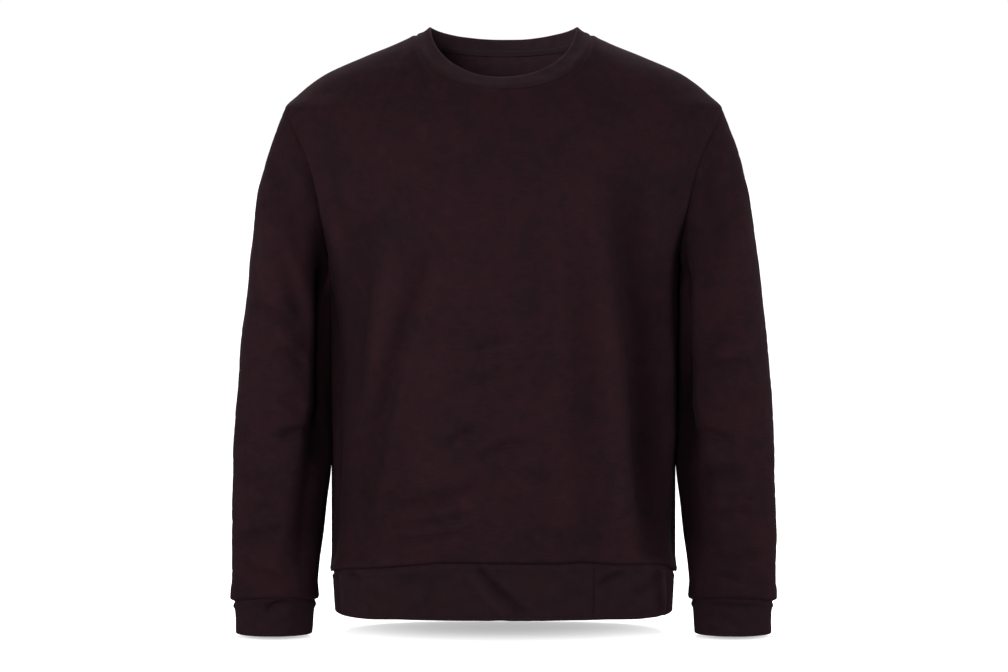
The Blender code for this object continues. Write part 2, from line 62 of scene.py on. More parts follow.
# height, half width, front depth, back depth, squareness
BODY_LEVELS = (
    (-0.645, 0.2052, 0.1125, 0.1075, 2.8),
    (-0.638, 0.2086, 0.116, 0.111, 2.8),
    (-0.622, 0.2074, 0.1155, 0.11, 2.7),
    (-0.45, 0.2069, 0.117, 0.105, 2.6),
    (-0.3, 0.2066, 0.121, 0.108, 2.5),
    (-0.272, 0.208, 0.1215, 0.109, 2.5),
    (-0.2, 0.24, 0.119, 0.111, 2.5),
    (-0.13, 0.259, 0.106, 0.105, 2.4),
    (-0.089, 0.261, 0.091, 0.094, 2.3),
    (-0.0722, 0.2455, 0.081, 0.086, 2.2),
    (-0.0488, 0.215, 0.068, 0.074, 2.1),
    (-0.0252, 0.163, 0.055, 0.062, 2),
    (-0.0132, 0.133, 0.048, 0.055, 2),
    (0, 0.104, 0.04, 0.047, 2),
)
FRONT_HEM_ARCH = 0.023
BACK_HEM_ARCH = 0.012
ARCH_TOP_Z = -0.48
ARCH_FADE = 0.125
# The powers of the hem arch's form, and the power by which the rows grow round towards the neck
ARCH_FORM = (3, 0.45)
NECK_ROUNDING = 0.6
# height, distance from the middle
ARMHOLE_LINE = (
    (-0.272, 0.208), (-0.25, 0.2105), (-0.2, 0.218), (-0.155, 0.2285), (-0.13, 0.2395), (-0.108, 0.251),
    (-0.089, 0.261),
)
# The hem seam wavers a little: distance from the middle, lift
FRONT_HEM_WAVER = (
    (-0.2052, 0), (-0.194, -0.0002), (-0.157, -0.0015), (-0.1, 0.001), (-0.07, 0.0032), (0, 0.0022),
    (0.06, 0.002), (0.098, 0.0042), (0.127, 0.0023), (0.189, 0.0052), (0.2052, 0),
)
BACK_HEM_WAVER = (
    (-0.2052, 0), (-0.15, 0.0024), (-0.08, -0.0012), (0.02, 0.0018), (0.09, 0.0034), (0.15, -0.001),
    (0.2052, 0),
)
WAVER_REACH = 0.07

# ---- sleeves ----
# height, middle x, half width, middle y, half depth
SLEEVE_LEVELS = (
    (-0.335, 0.256, 0.0548, 0.002, 0.074),
    (-0.377, 0.2586, 0.0574, 0.001, 0.068),
    (-0.437, 0.2614, 0.059, -0.002, 0.06),
    (-0.497, 0.264, 0.059, -0.006, 0.052),
    (-0.527, 0.2658, 0.058, -0.008, 0.048),
    (-0.557, 0.2684, 0.0566, -0.01, 0.045),
    (-0.593, 0.2706, 0.055, -0.012, 0.042),
    (-0.629, 0.2728, 0.0522, -0.014, 0.039),
    (-0.653, 0.274, 0.0512, -0.015, 0.038),
    (-0.668, 0.2748, 0.053, -0.016, 0.039),
    (-0.677, 0.275, 0.0492, -0.016, 0.034),
)
# degrees round the armhole from the underarm, out along the sleeve, bulge, down
SLEEVE_SET = (
    (0, 0.02, 0, 1),
    (90, 0.62, 0.36, 0.62),
    (180, 0.4, 0, 0.86),
)
# How far the cloth runs straight on from the armhole, as a share of the way to the sleeve's rings
CAP_REACH = 0.4
CAP_LEAD = 0.023
BODY_CLEARANCE = -0.0006
CONTACT_SOFTNESS = 0.0004
# Below the underarm a sleeve touches the body within this turn. It starts this many times its height below.
TOUCH_TURN = 0.3
TOUCH_LEAD = 1.6
TOUCH_HEIGHT = 0.04

# ---- rib bands ----
# height, middle x, half width, middle y, half depth
CUFF_LEVELS = (
    (-0.677, 0.275, 0.0492, -0.016, 0.034),
    (-0.685, 0.2752, 0.0478, -0.016, 0.032),
    (-0.7, 0.2755, 0.0468, -0.017, 0.03),
    (-0.7165, 0.276, 0.0462, -0.018, 0.03),
)
CUFF_SEAM_LIFT = 0.0075
CUFF_SEAM_DIP = 0.002
LIFT_FORM = 1.3
LIFT_REACH = 0.05
# height, half width, front depth, back depth
HEM_BAND_LEVELS = (
    (-0.645, 0.2052, 0.1125, 0.1075),
    (-0.652, 0.2042, 0.1115, 0.1065),
    (-0.668, 0.2034, 0.1105, 0.1055),
    (-0.6868, 0.2018, 0.1095, 0.1045),
)
HEM_BAND_ROUND = 1.09
# From this share of its height down the hem band is a little wider than its seam, and its free edge drops
# towards the side seams
EASE_SHARE = 0.3
HEM_BAND_EASE = 0.008
HEM_CORNER_DROP = 0.0021
HEM_CORNER_X = 0.12
HEM_CORNER_REACH = 0.045
NECK_SQUARENESS = 0.94
NECK_TOP_HALF_WIDTH = 0.0876
NECK_TOP_SIDE_Z = 0.0095
# y and z in the middle, squareness
NECK_TOP_FRONT = (-0.064, -0.0505, NECK_SQUARENESS)
NECK_TOP_BACK = (0.052, -0.004, 1.4)
NECK_TOP_PLAN_SQUARENESS = 0.85
NECK_CORNER = 0.14
NECKBAND_CROWN = 0.0004
NECKBAND_SIDE_SAG = 0.0014
SAG_FORM = 8
NECKBAND_ROUND = 0.56
RIB_PITCH = 0.0023
RIB_HEIGHT = 0.00011
RIB_START = 0.003
COLUMNS_PER_RIB = 4

# ---- creases ----
# Seen from the front or the back: start x and z, end x and z, sideways bow, depth (a trough is positive),
# half width, and where it has one, a lean (above 0 it is steeper on the right hand of its run)
FRONT_CREASES = (
    (-0.154, -0.205, -0.184, -0.44, 0.002, 0.011, 0.018, -0.2),
    (-0.077, -0.225, -0.18, -0.6, 0.004, 0.009, 0.013, -0.25),
    (-0.15, -0.38, -0.16, -0.67, 0, 0.008, 0.046),
    (-0.12, -0.26, -0.176, -0.53, -0.004, -0.0012, 0.013),
    (-0.212, -0.27, -0.214, -0.65, 0, 0.012, 0.046),
    (0.137, -0.15, 0.192, -0.65, 0.002, 0.024, 0.022, 0.1),
    (0.14, -0.4, 0.186, -0.65, 0, 0.007, 0.026),
    (0.112, -0.2, 0.15, -0.6, -0.004, -0.0029, 0.016),
    (0.094, -0.23, 0.104, -0.64, 0.004, 0.007, 0.02, 0.2),
    (0.044, -0.26, 0.05, -0.42, 0.004, 0.0023, 0.016),
    (-0.15, -0.56, -0.02, -0.525, 0.006, 0.0049, 0.009, 0.2),
    (-0.07, -0.425, 0.03, -0.395, -0.008, 0.0035, 0.008, 0.2),
    (-0.034, -0.374, 0.014, -0.361, -0.007, 0.0035, 0.0048, 0.3),
    (-0.01, -0.392, 0.04, -0.376, -0.006, 0.002, 0.006, 0.3),
    (-0.066, -0.482, -0.03, -0.462, -0.004, 0.0038, 0.0048, 0.3),
    (-0.03, -0.502, 0.03, -0.478, -0.008, 0.0042, 0.005, 0.3),
    (0.02, -0.506, 0.06, -0.52, 0.005, 0.0029, 0.006),
    (-0.15, -0.574, -0.036, -0.564, 0.005, 0.0038, 0.0058, 0.25),
    (-0.139, -0.6, -0.03, -0.575, 0.004, 0.0035, 0.0054, 0.25),
    (-0.176, -0.548, -0.118, -0.538, 0.004, 0.002, 0.006),
    (0.02, -0.56, 0.078, -0.59, 0.006, 0.002, 0.007),
    (0.128, -0.575, 0.176, -0.548, -0.004, 0.0022, 0.006),
    (0.06, -0.425, 0.116, -0.446, 0.006, 0.0017, 0.008),
    (-0.208, -0.17, -0.176, -0.262, -0.006, 0.0035, 0.01),
    (0.212, -0.16, 0.186, -0.25, 0.006, 0.0032, 0.01),
    (-0.196, -0.118, -0.17, -0.15, 0.004, 0.0016, 0.01),
    (0.12, -0.11, 0.172, -0.16, -0.005, 0.0019, 0.014),
    (-0.12, -0.1, -0.07, -0.17, 0.006, 0.0016, 0.014),
    (-0.052, -0.118, 0.05, -0.114, -0.01, 0.0012, 0.012),
)
# Where the front lies in the shade of the sleeve beside it, with no trough of its own, in the same columns
FRONT_SHADES = (
    (0.185, -0.24, 0.197, -0.66, 0, 0.02, 0.02),
    (0.164, -0.33, 0.196, -0.61, 0, 0.009, 0.01),
)
BACK_CREASES = (
    (0.13, -0.23, 0.186, -0.52, 0.005, 0.007, 0.018, -0.2),
    (0.08, -0.28, 0.13, -0.58, -0.004, 0.0036, 0.018),
    (-0.135, -0.2, -0.19, -0.56, -0.005, 0.0075, 0.018, 0.25),
    (-0.085, -0.3, -0.12, -0.56, 0.004, 0.0032, 0.02),
    (0.01, -0.35, 0, -0.59, 0.006, 0.0032, 0.026),
    (-0.16, -0.15, -0.06, -0.21, 0.01, 0.0031, 0.013, 0.2),
    (0.15, -0.14, 0.07, -0.205, -0.01, 0.0029, 0.013, -0.2),
    (-0.03, -0.405, 0.026, -0.392, -0.006, 0.0024, 0.0055, 0.3),
    (0.03, -0.47, 0.074, -0.484, 0.005, 0.0024, 0.005),
    (-0.11, -0.52, -0.05, -0.545, 0.006, 0.0027, 0.006, 0.2),
    (0.06, -0.575, 0.15, -0.562, 0.006, 0.0031, 0.0065, 0.2),
    (-0.17, -0.588, -0.08, -0.6, 0.004, 0.0024, 0.006),
    (0.21, -0.165, 0.182, -0.25, 0.006, 0.0034, 0.011),
    (-0.21, -0.165, -0.18, -0.255, -0.006, 0.0036, 0.011),
    (-0.06, -0.072, 0.06, -0.07, -0.01, 0.0014, 0.013),
)
# On a sleeve a turn takes the place of x. It goes round the arm in degrees from the underarm: 90 is the
# front, 180 the outer side, 270 the back.
LEFT_SLEEVE_CREASES = (
    (150, -0.15, 62, -0.3, 0.01, 0.0057, 0.013, 0.2),
    (125, -0.12, 85, -0.23, 0.008, 0.0056, 0.009, 0.2),
    (125, -0.33, 40, -0.41, 0.012, 0.0063, 0.011, 0.25),
    (130, -0.39, 60, -0.398, 0.004, 0.0056, 0.008, 0.2),
    (100, -0.482, 35, -0.476, 0.006, 0.0065, 0.008, 0.2),
    (110, -0.52, 40, -0.535, 0.005, 0.0056, 0.009),
    (215, -0.2, 300, -0.33, 0.01, 0.0052, 0.014),
    (230, -0.4, 310, -0.44, 0.008, 0.0046, 0.01, 0.2),
    (140, -0.62, 70, -0.632, 0.004, 0.0041, 0.007),
    (240, -0.56, 310, -0.575, 0.006, 0.0052, 0.009),
    (112, -0.355, 76, -0.366, 0.003, 0.0034, 0.0055, 0.2),
    (150, -0.43, 96, -0.442, 0.005, 0.003, 0.007),
    (120, -0.566, 66, -0.574, 0.004, 0.0034, 0.006),
    (165, -0.505, 128, -0.52, 0.004, 0.003, 0.007),
    (100, -0.65, 52, -0.643, 0.003, 0.0026, 0.005),
    (250, -0.48, 300, -0.492, 0.005, 0.0037, 0.007),
    (210, -0.628, 270, -0.618, 0.004, 0.0034, 0.006),
    (205, -0.3, 250, -0.36, 0.006, 0.0033, 0.01),
    (178, -0.26, 180, -0.72, 0, -0.0022, 0.06),
    (178, -0.56, 178, -0.74, 0, -0.0016, 0.05),
)
RIGHT_SLEEVE_CREASES = (
    (150, -0.145, 70, -0.27, 0.01, 0.0046, 0.013, 0.2),
    (110, -0.25, 55, -0.4, 0.01, 0.0069, 0.012, 0.25),
    (140, -0.32, 70, -0.35, 0.006, 0.0056, 0.008, 0.2),
    (105, -0.375, 60, -0.392, 0.006, 0.0056, 0.008, 0.2),
    (95, -0.478, 40, -0.472, 0.005, 0.0065, 0.008, 0.2),
    (150, -0.525, 90, -0.545, 0.004, 0.0049, 0.009),
    (215, -0.21, 300, -0.33, 0.01, 0.0052, 0.014),
    (235, -0.42, 310, -0.45, 0.008, 0.0046, 0.01, 0.2),
    (150, -0.61, 80, -0.59, 0.004, 0.0045, 0.008),
    (240, -0.545, 310, -0.57, 0.006, 0.0052, 0.009),
    (128, -0.205, 122, -0.295, 0.004, -0.0041, 0.009),
    (96, -0.43, 62, -0.44, 0.003, 0.003, 0.006),
    (130, -0.56, 84, -0.568, 0.003, 0.003, 0.006),
    (168, -0.47, 130, -0.486, 0.005, 0.0034, 0.008),
    (120, -0.64, 70, -0.65, 0.003, 0.003, 0.005),
    (245, -0.49, 300, -0.505, 0.005, 0.0037, 0.007),
    (215, -0.622, 265, -0.632, 0.004, 0.003, 0.006),
    (205, -0.31, 250, -0.37, 0.006, 0.0033, 0.01),
    (176, -0.465, 178, -0.585, 0, -0.002, 0.05),
)
# Where a sleeve folds in behind its front, beside the body, on both sides
SLEEVE_TUCKS = (
    (24, -0.24, 28, -0.52, 0, 0.019, 0.021),
    (40, -0.44, 52, -0.64, 0, 0.011, 0.02),
    (318, -0.25, 312, -0.58, 0, 0.008, 0.018),
)
TUCK_START = 0.36
# Beside the body a sleeve lies in deep shade: the turns where this ends and is whole, and the heights where
# it starts, is whole, fades and ends
SHADE_TURNS = (1.08, 0.45)
SHADE_HEIGHTS = (-0.3, -0.45, -0.585, -0.655)
SHADE_DEPTH = 1.9
SLEEVE_ARC = 0.058
# On the hem band and the cuffs, seen from the front or the back
HEM_FRONT_CREASES = (
    (-0.032, -0.618, 0.032, -0.682, 0.004, 0.0044, 0.006, -0.3),
    (-0.044, -0.628, 0.014, -0.69, 0.004, -0.002, 0.006),
    (0.106, -0.612, 0.105, -0.692, 0, 0.0015, 0.0016),
    (0.108, -0.648, 0.143, -0.634, -0.002, 0.004, 0.0042, 0.2),
    (-0.184, -0.63, -0.168, -0.648, 0.002, 0.0041, 0.007),
    (-0.13, -0.64, -0.06, -0.634, 0.003, 0.002, 0.006),
    (-0.1, -0.672, -0.08, -0.64, 0.003, 0.0015, 0.007),
    (0.05, -0.668, 0.092, -0.65, 0.003, 0.0017, 0.006),
    (0.15, -0.662, 0.186, -0.634, 0.004, 0.0027, 0.007),
    (0.189, -0.63, 0.1905, -0.69, 0.001, -0.0055, 0.002),
    (0.182, -0.63, 0.186, -0.69, 0.001, 0.0026, 0.005),
    (-0.196, -0.636, -0.193, -0.69, 0, 0.0024, 0.006),
    (-0.1925, -0.636, -0.1905, -0.69, 0, -0.0038, 0.0026),
)
HEM_BACK_CREASES = (
    (0.04, -0.632, -0.02, -0.682, 0.004, 0.0035, 0.006, 0.3),
    (-0.1, -0.636, -0.136, -0.662, 0.003, 0.0026, 0.0055),
    (-0.104, -0.625, -0.103, -0.692, 0, 0.0014, 0.0016),
    (0.12, -0.65, 0.168, -0.64, 0.003, 0.0026, 0.006),
)
LEFT_CUFF_CREASES = (
    (0.232, -0.677, 0.312, -0.679, 0, 0.003, 0.0044),
    (0.262, -0.69, 0.286, -0.706, 0.002, 0.0015, 0.0045),
)
RIGHT_CUFF_CREASES = (
    (0.286, -0.688, 0.254, -0.668, 0.002, 0.0036, 0.0042, 0.2),
    (0.268, -0.694, 0.246, -0.68, 0.002, -0.0015, 0.0045),
    (0.3, -0.706, 0.284, -0.694, 0.002, 0.0012, 0.004),
    (0.312, -0.677, 0.238, -0.676, 0.001, 0.0024, 0.004),
)
# Painted shade in creases: a trough this deep is painted most of the way to the darkest, and a ridge is
# painted lighter as a highlight. Beyond these depths, a ridge's first, nothing changes.
HOLLOW_DEPTH = 0.016
HOLLOW_LIMITS = (-0.012, 0.1)
# On the bands, whose creases are shallow, the shade in them is this many times as strong
BAND_HOLLOW = 2.4
# Beside a trough the cloth rolls up: share of its depth, and place and width in half widths
ROLL_SHARE = 0.16
ROLL_PLACE = 2
ROLL_WIDTH = 0.8
# How far from a seam the creases are whole, and the same on a band
FOLD_FADE = 0.024
BAND_FOLD_FADE = 0.006
# A sleeve's creases fade out at its underarm line, the closer to it the higher this is
FREE_SIDE = 1.4
# The cloth's own unevenness: rows of a depth, a width and a height, of which a third one is thin furrows
PANEL_UNEVENNESS = ((0.0024, 0.085, 0.125), (0.0006, 0.03, 0.036), (0.0004, 0.06, 0.03))
SLEEVE_UNEVENNESS = ((0.0026, 0.065, 0.085), (0.0007, 0.028, 0.026), (0.0005, 0.055, 0.024))
BAND_UNEVENNESS = ((0.0012, 0.05, 0.05), (0.0005, 0.018, 0.018))
FURROW_WIDTH = 0.07
# Above the hem seam the cloth ripples: depth, width and height of a ripple, how far up they start and reach
HEM_RIPPLE = (0.0005, 0.011, 0.05)
RIPPLE_START = 0.003
RIPPLE_REACH = 0.012
# Above the cuff seam it is gathered: waves round the arm, strength, start, and the same for all
CUFF_GATHERS = ((17, 1, 0), (22, 0.8, 1.3), (11, 0.7, 0.4))
GATHER_DEPTH = 0.00035
GATHER_START = 0.004
GATHER_REACH = 0.012

# ---- seams ----
# How deep the cloth turns in to each seam, and how high it rolls up beside it
HEM_TURN = (0.0017, 0.0012)
NECK_TURN = (0.0012, 0.0005)
ARMHOLE_TURN = (0.0004, 0.0001)
ARMHOLE_TURN_FADE = 0.03
SLEEVE_ARMHOLE_TURN = (0.0003, 0.0001)
SLEEVE_CUFF_TURN = (0.0012, 0.0018)
BAND_TURN = (0.0012, 0.0014)
NECKBAND_TURN = (0.0012, 0.0004)
SEAM_WIDTH = 0.0017
SEAM_ROLL_PLACE = 0.0052
SEAM_ROLL_WIDTH = 0.0024
# Painted shade along the panels' side seams, armholes and shoulder seams, as a share of painted shading
SEAM_SHADE = 0.8
# Strips inside the seams: start from the seam, width, thickness
ALLOWANCE = (0.0006, 0.0052, 0.0015)
NECK_TAPE = (0.0004, 0.0096, 0.0008)
STRIP_GAP = 0.0001
STRIP_EDGE = 0.0003

# ---- mesh density ----
SIDE_SEAM_ROWS = 12
ARMHOLE_ROWS = 12
SHOULDER_ROWS = 5
ARMHOLE_END = SIDE_SEAM_ROWS + ARMHOLE_ROWS
LAST_ROW = ARMHOLE_END + SHOULDER_ROWS
SEAM_STEPS = np.array((0, 0.0007, 0.0015, 0.0025, 0.0038, 0.0055))
PANEL_WIDTH = 0.52
PANEL_TOP_DROP = 0.096
STEP = 0.0031
SIDE_STEP = 0.0038
# At the hem the frame's rows lie this share as far apart as even ones
HEM_ROW_SPACING = 0.42
BAND_STEP = 0.003
BORDER_ROWS = 14
ARMHOLE_PARTS = 5
CAP_RINGS = 56
CURVE_SAMPLES = 400
FOLD_RINGS = 4
SHARP_ANGLE = 48


# ---- small maths ----
def unit(vectors):
    return vectors / np.maximum(np.linalg.norm(vectors, axis=-1, keepdims=True), 1e-12)


def square_to(vectors, along):
    """The directions of vectors, with what runs along another direction taken out."""
    return unit(vectors - along * (vectors * along).sum(axis=-1, keepdims=True))


def smooth_step(values):
    share = np.clip(values, 0, 1)
    return share * share * (3 - 2 * share)


def smooth_curves(table, at):
    """A table's other columns, read at any value of its first along smooth curves with no overshoot."""
    x, *columns = np.array(sorted(table), float).T
    step = np.diff(x)
    at = np.clip(at, x[0], x[-1])
    i = np.clip(np.searchsorted(x, at) - 1, 0, len(step) - 1)
    t = (at - x[i]) / step[i]
    curves = []
    for y in columns:
        slope = np.diff(y) / step
        same_way = slope[:-1] * slope[1:] > 0
        mean = 2 * slope[:-1] * slope[1:] / np.where(same_way, slope[:-1] + slope[1:], 1)
        tangent = np.concatenate([slope[:1], np.where(same_way, mean, 0), slope[-1:]])
        start = y[i] * (1 + 2 * t) + step[i] * tangent[i] * t
        end = y[i + 1] * (3 - 2 * t) + step[i] * tangent[i + 1] * (t - 1)
        curves.append(start * (1 - t) ** 2 + end * t * t)
    return curves


def lengths_along(points, axis):
    """The distance walked along a grid's rows (axis 1) or columns (axis 0), from 0."""
    steps = np.linalg.norm(np.diff(points, axis=axis), axis=-1)
    return np.insert(np.cumsum(steps, axis=axis), 0, 0, axis=axis)


def along_curve(curve, shares, distances=0):
    """Points on a curve, at shares of its length plus distances along it."""
    walked = lengths_along(curve, 0)
    at = shares * walked[-1] + distances
    return np.stack([np.interp(at, walked, places) for places in curve.T], axis=1)


def grid_normals(grid, closed):
    """Unit normals of a grid of points. closed says that its columns run all round."""
    if closed:
        across = np.roll(grid, -1, axis=1) - np.roll(grid, 1, axis=1)
    else:
        across = np.gradient(grid, axis=1)
    return unit(np.cross(across, np.gradient(grid, axis=0)))


def seam_spaced(length, step, at_start, at_end):
    """Distances from 0 to a length, closer together beside the seams at its ends."""
    start = SEAM_STEPS if at_start else SEAM_STEPS[:1]
    end = length - (SEAM_STEPS if at_end else SEAM_STEPS[:1])[::-1]
    count = max(2, round((end[0] - start[-1]) / step))
    return np.concatenate([start, np.linspace(start[-1], end[0], count + 1)[1:-1], end])


def unevenness(points, width, height, seed):
    """Soft random rises and hollows of about this width and height, from -1 to 1."""
    places = points.reshape(-1, 3) / (width, width, height) + 37.0 * seed
    return np.array([noise.noise(place) for place in places.tolist()]).reshape(points.shape[:-1])


# ---- creases and seams ----
def crease_push(u, v, creases, u_unit=1):
    """How far the cloth sinks at (u, v) under a table of creases. u_unit is the length of 1 in its turns."""
    push = np.zeros_like(u)
    for u0, v0, u1, v1, bow, depth, half_width, *lean in creases:
        run = np.array(((u1 - u0) * u_unit, v1 - v0))
        length = np.linalg.norm(run)
        run /= length
        from_u, from_v = u - u0 * u_unit, v - v0
        along = 2 * (from_u * run[0] + from_v * run[1]) / length - 1
        aside = from_u * run[1] - from_v * run[0] - bow * (1 - along**2)
        away = np.abs(aside) / (half_width * (1 - sum(lean) * np.sign(aside)))
        taper = np.clip(1 - np.abs(along) ** 3, 0, 1)
        roll = np.exp(-(((away - ROLL_PLACE) / ROLL_WIDTH) ** 2))
        push += depth * taper * (np.exp(-(away**2)) - ROLL_SHARE * roll)
    return push


def hollow_share(push):
    """How deep in a crease the cloth lies, from below 0 on a ridge towards 1 in a deep trough: the share of
    painted shade there, and below 0 of painted highlight.
    """
    return 1 - np.exp(-np.clip(push, *HOLLOW_LIMITS) / HOLLOW_DEPTH)


def uneven_push(points, table, seed):
    """How far the cloth sinks by its own unevenness."""
    push = np.zeros(points.shape[:-1])
    for i, (depth, width, height) in enumerate(table):
        rises = unevenness(points, width, height, seed + i)
        push += depth * (rises if i < 2 else np.exp(-((rises / FURROW_WIDTH) ** 2)))
    return push


def seam_turn(distance, depth, roll):
    """How far the cloth sinks where it turns in to a seam, with the small roll beside it."""
    groove = depth * np.exp(-((distance / SEAM_WIDTH) ** 2))
    return groove - roll * np.exp(-(((distance - SEAM_ROLL_PLACE) / SEAM_ROLL_WIDTH) ** 2))


def pressed(plain, closed, facing, sunk, turned, thickness):
    """Cloth's outer and inner faces, sunk into its creases, with the outer one turned in to its seams."""
    outward = grid_normals(plain, closed) * facing
    creased = plain - outward * sunk[..., None]
    inner = creased - grid_normals(creased, closed) * facing * thickness
    return creased - outward * turned[..., None], inner


# ---- the body's surface ----
def oval(share, squareness):
    """How wide a squared oval is at a share of its half depth, from 1 in its middle to 0 at its end."""
    return (1 - np.clip(np.abs(share), 0, 1) ** squareness) ** (1 / squareness)


def arched(share):
    """The form of the hem's arch, from 1 in the middle to 0 at its ends."""
    inner, outer = ARCH_FORM
    return (1 - np.clip(np.abs(share), 0, 1) ** inner) ** outer


def squared(values):
    """A sine or cosine round the neck, drawn out a little towards its corners."""
    return np.sign(values) * np.abs(values) ** NECK_SQUARENESS


def hem_arch(x, side):
    return (FRONT_HEM_ARCH if side < 0 else BACK_HEM_ARCH) * arched(x / BODY_LEVELS[0][1])


def body_depth(x, z, side):
    """The body's y at a place seen from the front. side is -1 on the front and +1 on the back."""
    level = z - hem_arch(x, side) * np.clip((ARCH_TOP_Z - z) / ARCH_FADE, 0, 1)
    half_width, front, back, squareness = smooth_curves(BODY_LEVELS, level)
    return side * (front if side < 0 else back) * oval(x / half_width, squareness)


def body_side(y, z):
    """The body's half width at a depth, which a sleeve rests against."""
    half_width, front, back, squareness = smooth_curves(BODY_LEVELS, z)
    return half_width * oval(y / np.where(y < 0, front, back), squareness)


def side_seam_share(share):
    """How far up the side seam a share of its rows reaches. They lie closer together near the hem."""
    return share * (HEM_ROW_SPACING + (1 - HEM_ROW_SPACING) * share)


def row_places():
    """Where a panel's rows lie, counted in the frame's rows: side seam, armhole, shoulder seam."""
    height = UNDERARM_Z - HEM_SEAM_Z
    share = np.linspace(0, 1, CURVE_SAMPLES)
    climbed = seam_spaced(height, SIDE_STEP, True, False)
    side = np.interp(climbed, side_seam_share(share) * height, share) * SIDE_SEAM_ROWS
    armhole = SIDE_SEAM_ROWS + np.arange(ARMHOLE_ROWS * ARMHOLE_PARTS) / ARMHOLE_PARTS
    top = seam_spaced(PANEL_TOP_DROP, STEP, False, True) / PANEL_TOP_DROP * SHOULDER_ROWS
    return np.concatenate([side[:-1], armhole, ARMHOLE_END + top])


ROW_PLACES = row_places()
ARMHOLE_FIRST, ARMHOLE_LAST = np.searchsorted(ROW_PLACES, (SIDE_SEAM_ROWS, ARMHOLE_END))
ARMHOLE = slice(ARMHOLE_FIRST, ARMHOLE_LAST + 1)


def row_end(place):
    """Where a row ends on the wearer's left."""
    if place <= SIDE_SEAM_ROWS:
        z = HEM_SEAM_Z + (UNDERARM_Z - HEM_SEAM_Z) * side_seam_share(place / SIDE_SEAM_ROWS)
    elif place <= ARMHOLE_END:
        middle = (SHOULDER_TIP_Z + UNDERARM_Z) / 2
        half_height = (SHOULDER_TIP_Z - UNDERARM_Z) / 2
        z = middle - half_height * math.cos(math.pi * (place - SIDE_SEAM_ROWS) / ARMHOLE_ROWS)
        return smooth_curves(ARMHOLE_LINE, z)[0], z
    else:
        z = SHOULDER_TIP_Z * (1 - (place - ARMHOLE_END) / SHOULDER_ROWS)
    return smooth_curves(BODY_LEVELS, z)[0], z


def panel_row(side, place, neck_drop, shares):
    """One row of a panel, from the wearer's right to left: arched at the hem, round at the neck."""
    end_x, end_z = row_end(place)
    hem_middle = HEM_SEAM_Z + hem_arch(0, side)
    middle_z = hem_middle + (-neck_drop - hem_middle) * place / LAST_ROW
    roundness = np.clip((place - ARMHOLE_END) / SHOULDER_ROWS, 0, 1) ** NECK_ROUNDING
    hemness = np.clip(1 - place / (SIDE_SEAM_ROWS / 2), 0, 1)
    s = np.linspace(-1, 1, CURVE_SAMPLES + 1)
    arch = hemness * arched(s) + (1 - hemness) * (1 - s**2)
    neckline = squared(np.cos(math.pi / 2 * s))
    x = end_x * ((1 - roundness) * s + roundness * squared(np.sin(math.pi / 2 * s)))
    z = end_z + (middle_z - end_z) * ((1 - roundness) * arch + roundness * neckline)
    row = along_curve(np.stack([x, body_depth(x, z, side), z], axis=1), shares)
    near_hem = smooth_step(1 - (end_z - HEM_SEAM_Z) / WAVER_REACH)
    waver = smooth_curves(FRONT_HEM_WAVER if side < 0 else BACK_HEM_WAVER, row[:, 0])[0]
    row[:, 2] += waver * near_hem
    return row


def plain_panel(side, neck_drop):
    """A front or back with no creases, as a grid of rows from the hem seam up to the neckline."""
    shares = seam_spaced(PANEL_WIDTH, STEP, True, True) / PANEL_WIDTH
    return np.array([panel_row(side, place, neck_drop, shares) for place in ROW_PLACES])


def creased_panel(plain, side, creases, shades, seed):
    """A panel's creased outer and inner faces with their seams turned in, and its painted shade and
    highlight.
    """
    across, up = lengths_along(plain, 1), lengths_along(plain, 0)
    to_side = np.minimum(across, across[:, -1:] - across)
    to_neck = up[-1:] - up
    fade = smooth_step(to_side / FOLD_FADE) * smooth_step(np.minimum(up, to_neck) / FOLD_FADE)
    x, _, z = np.moveaxis(plain, -1, 0)
    push = crease_push(x, z, creases)
    # Painted shade down in the creases, in the sleeve's shade and along the seams; painted highlight on
    # ridges
    painted_shading = hollow_share(push * fade) + hollow_share(crease_push(x, z, shades))
    painted_shading += SEAM_SHADE * np.exp(-((to_side / SEAM_WIDTH) ** 2))
    push += uneven_push(plain, PANEL_UNEVENNESS, seed)
    depth, width, height = HEM_RIPPLE
    ripple = depth * unevenness(plain, width, height, seed + 3) * np.exp(-up / RIPPLE_REACH)
    turned = seam_turn(to_side, *ARMHOLE_TURN) * smooth_step((z[:, :1] - UNDERARM_Z) / ARMHOLE_TURN_FADE)
    turned += seam_turn(up, *HEM_TURN) + ripple * smooth_step(up / RIPPLE_START)
    turned += seam_turn(to_neck, *NECK_TURN)
    return *pressed(plain, False, -side, push * fade, turned, FLEECE), painted_shading


# ---- the sleeves' surface ----
def arm_turns(count):
    """Even turns round the arm from the underarm by the front, and how far each is from the underarm."""
    turns = np.arange(count) * TURN / count
    return turns, np.minimum(turns, TURN - turns)


def sleeve_rings(levels, heights, turns):
    """Rings round the arm at the given heights, each from the underarm by the front."""
    lift = CUFF_SEAM_LIFT * np.abs(np.sin(turns)) ** LIFT_FORM - CUFF_SEAM_DIP * (1 - np.cos(turns)) / 2
    seam_z, bottom_z = CUFF_LEVELS[0][0], CUFF_LEVELS[-1][0]
    rings = []
    for height in heights:
        middle_x, half_width, middle_y, half_depth = smooth_curves(levels, height)
        x = middle_x - half_width * np.cos(turns)
        y = middle_y - half_depth * np.sin(turns)
        z = height + lift * np.interp(height, (bottom_z, seam_z, seam_z + LIFT_REACH), (0, 1, 0))
        rings.append(np.stack([x, y, z], axis=1))
    return np.array(rings)


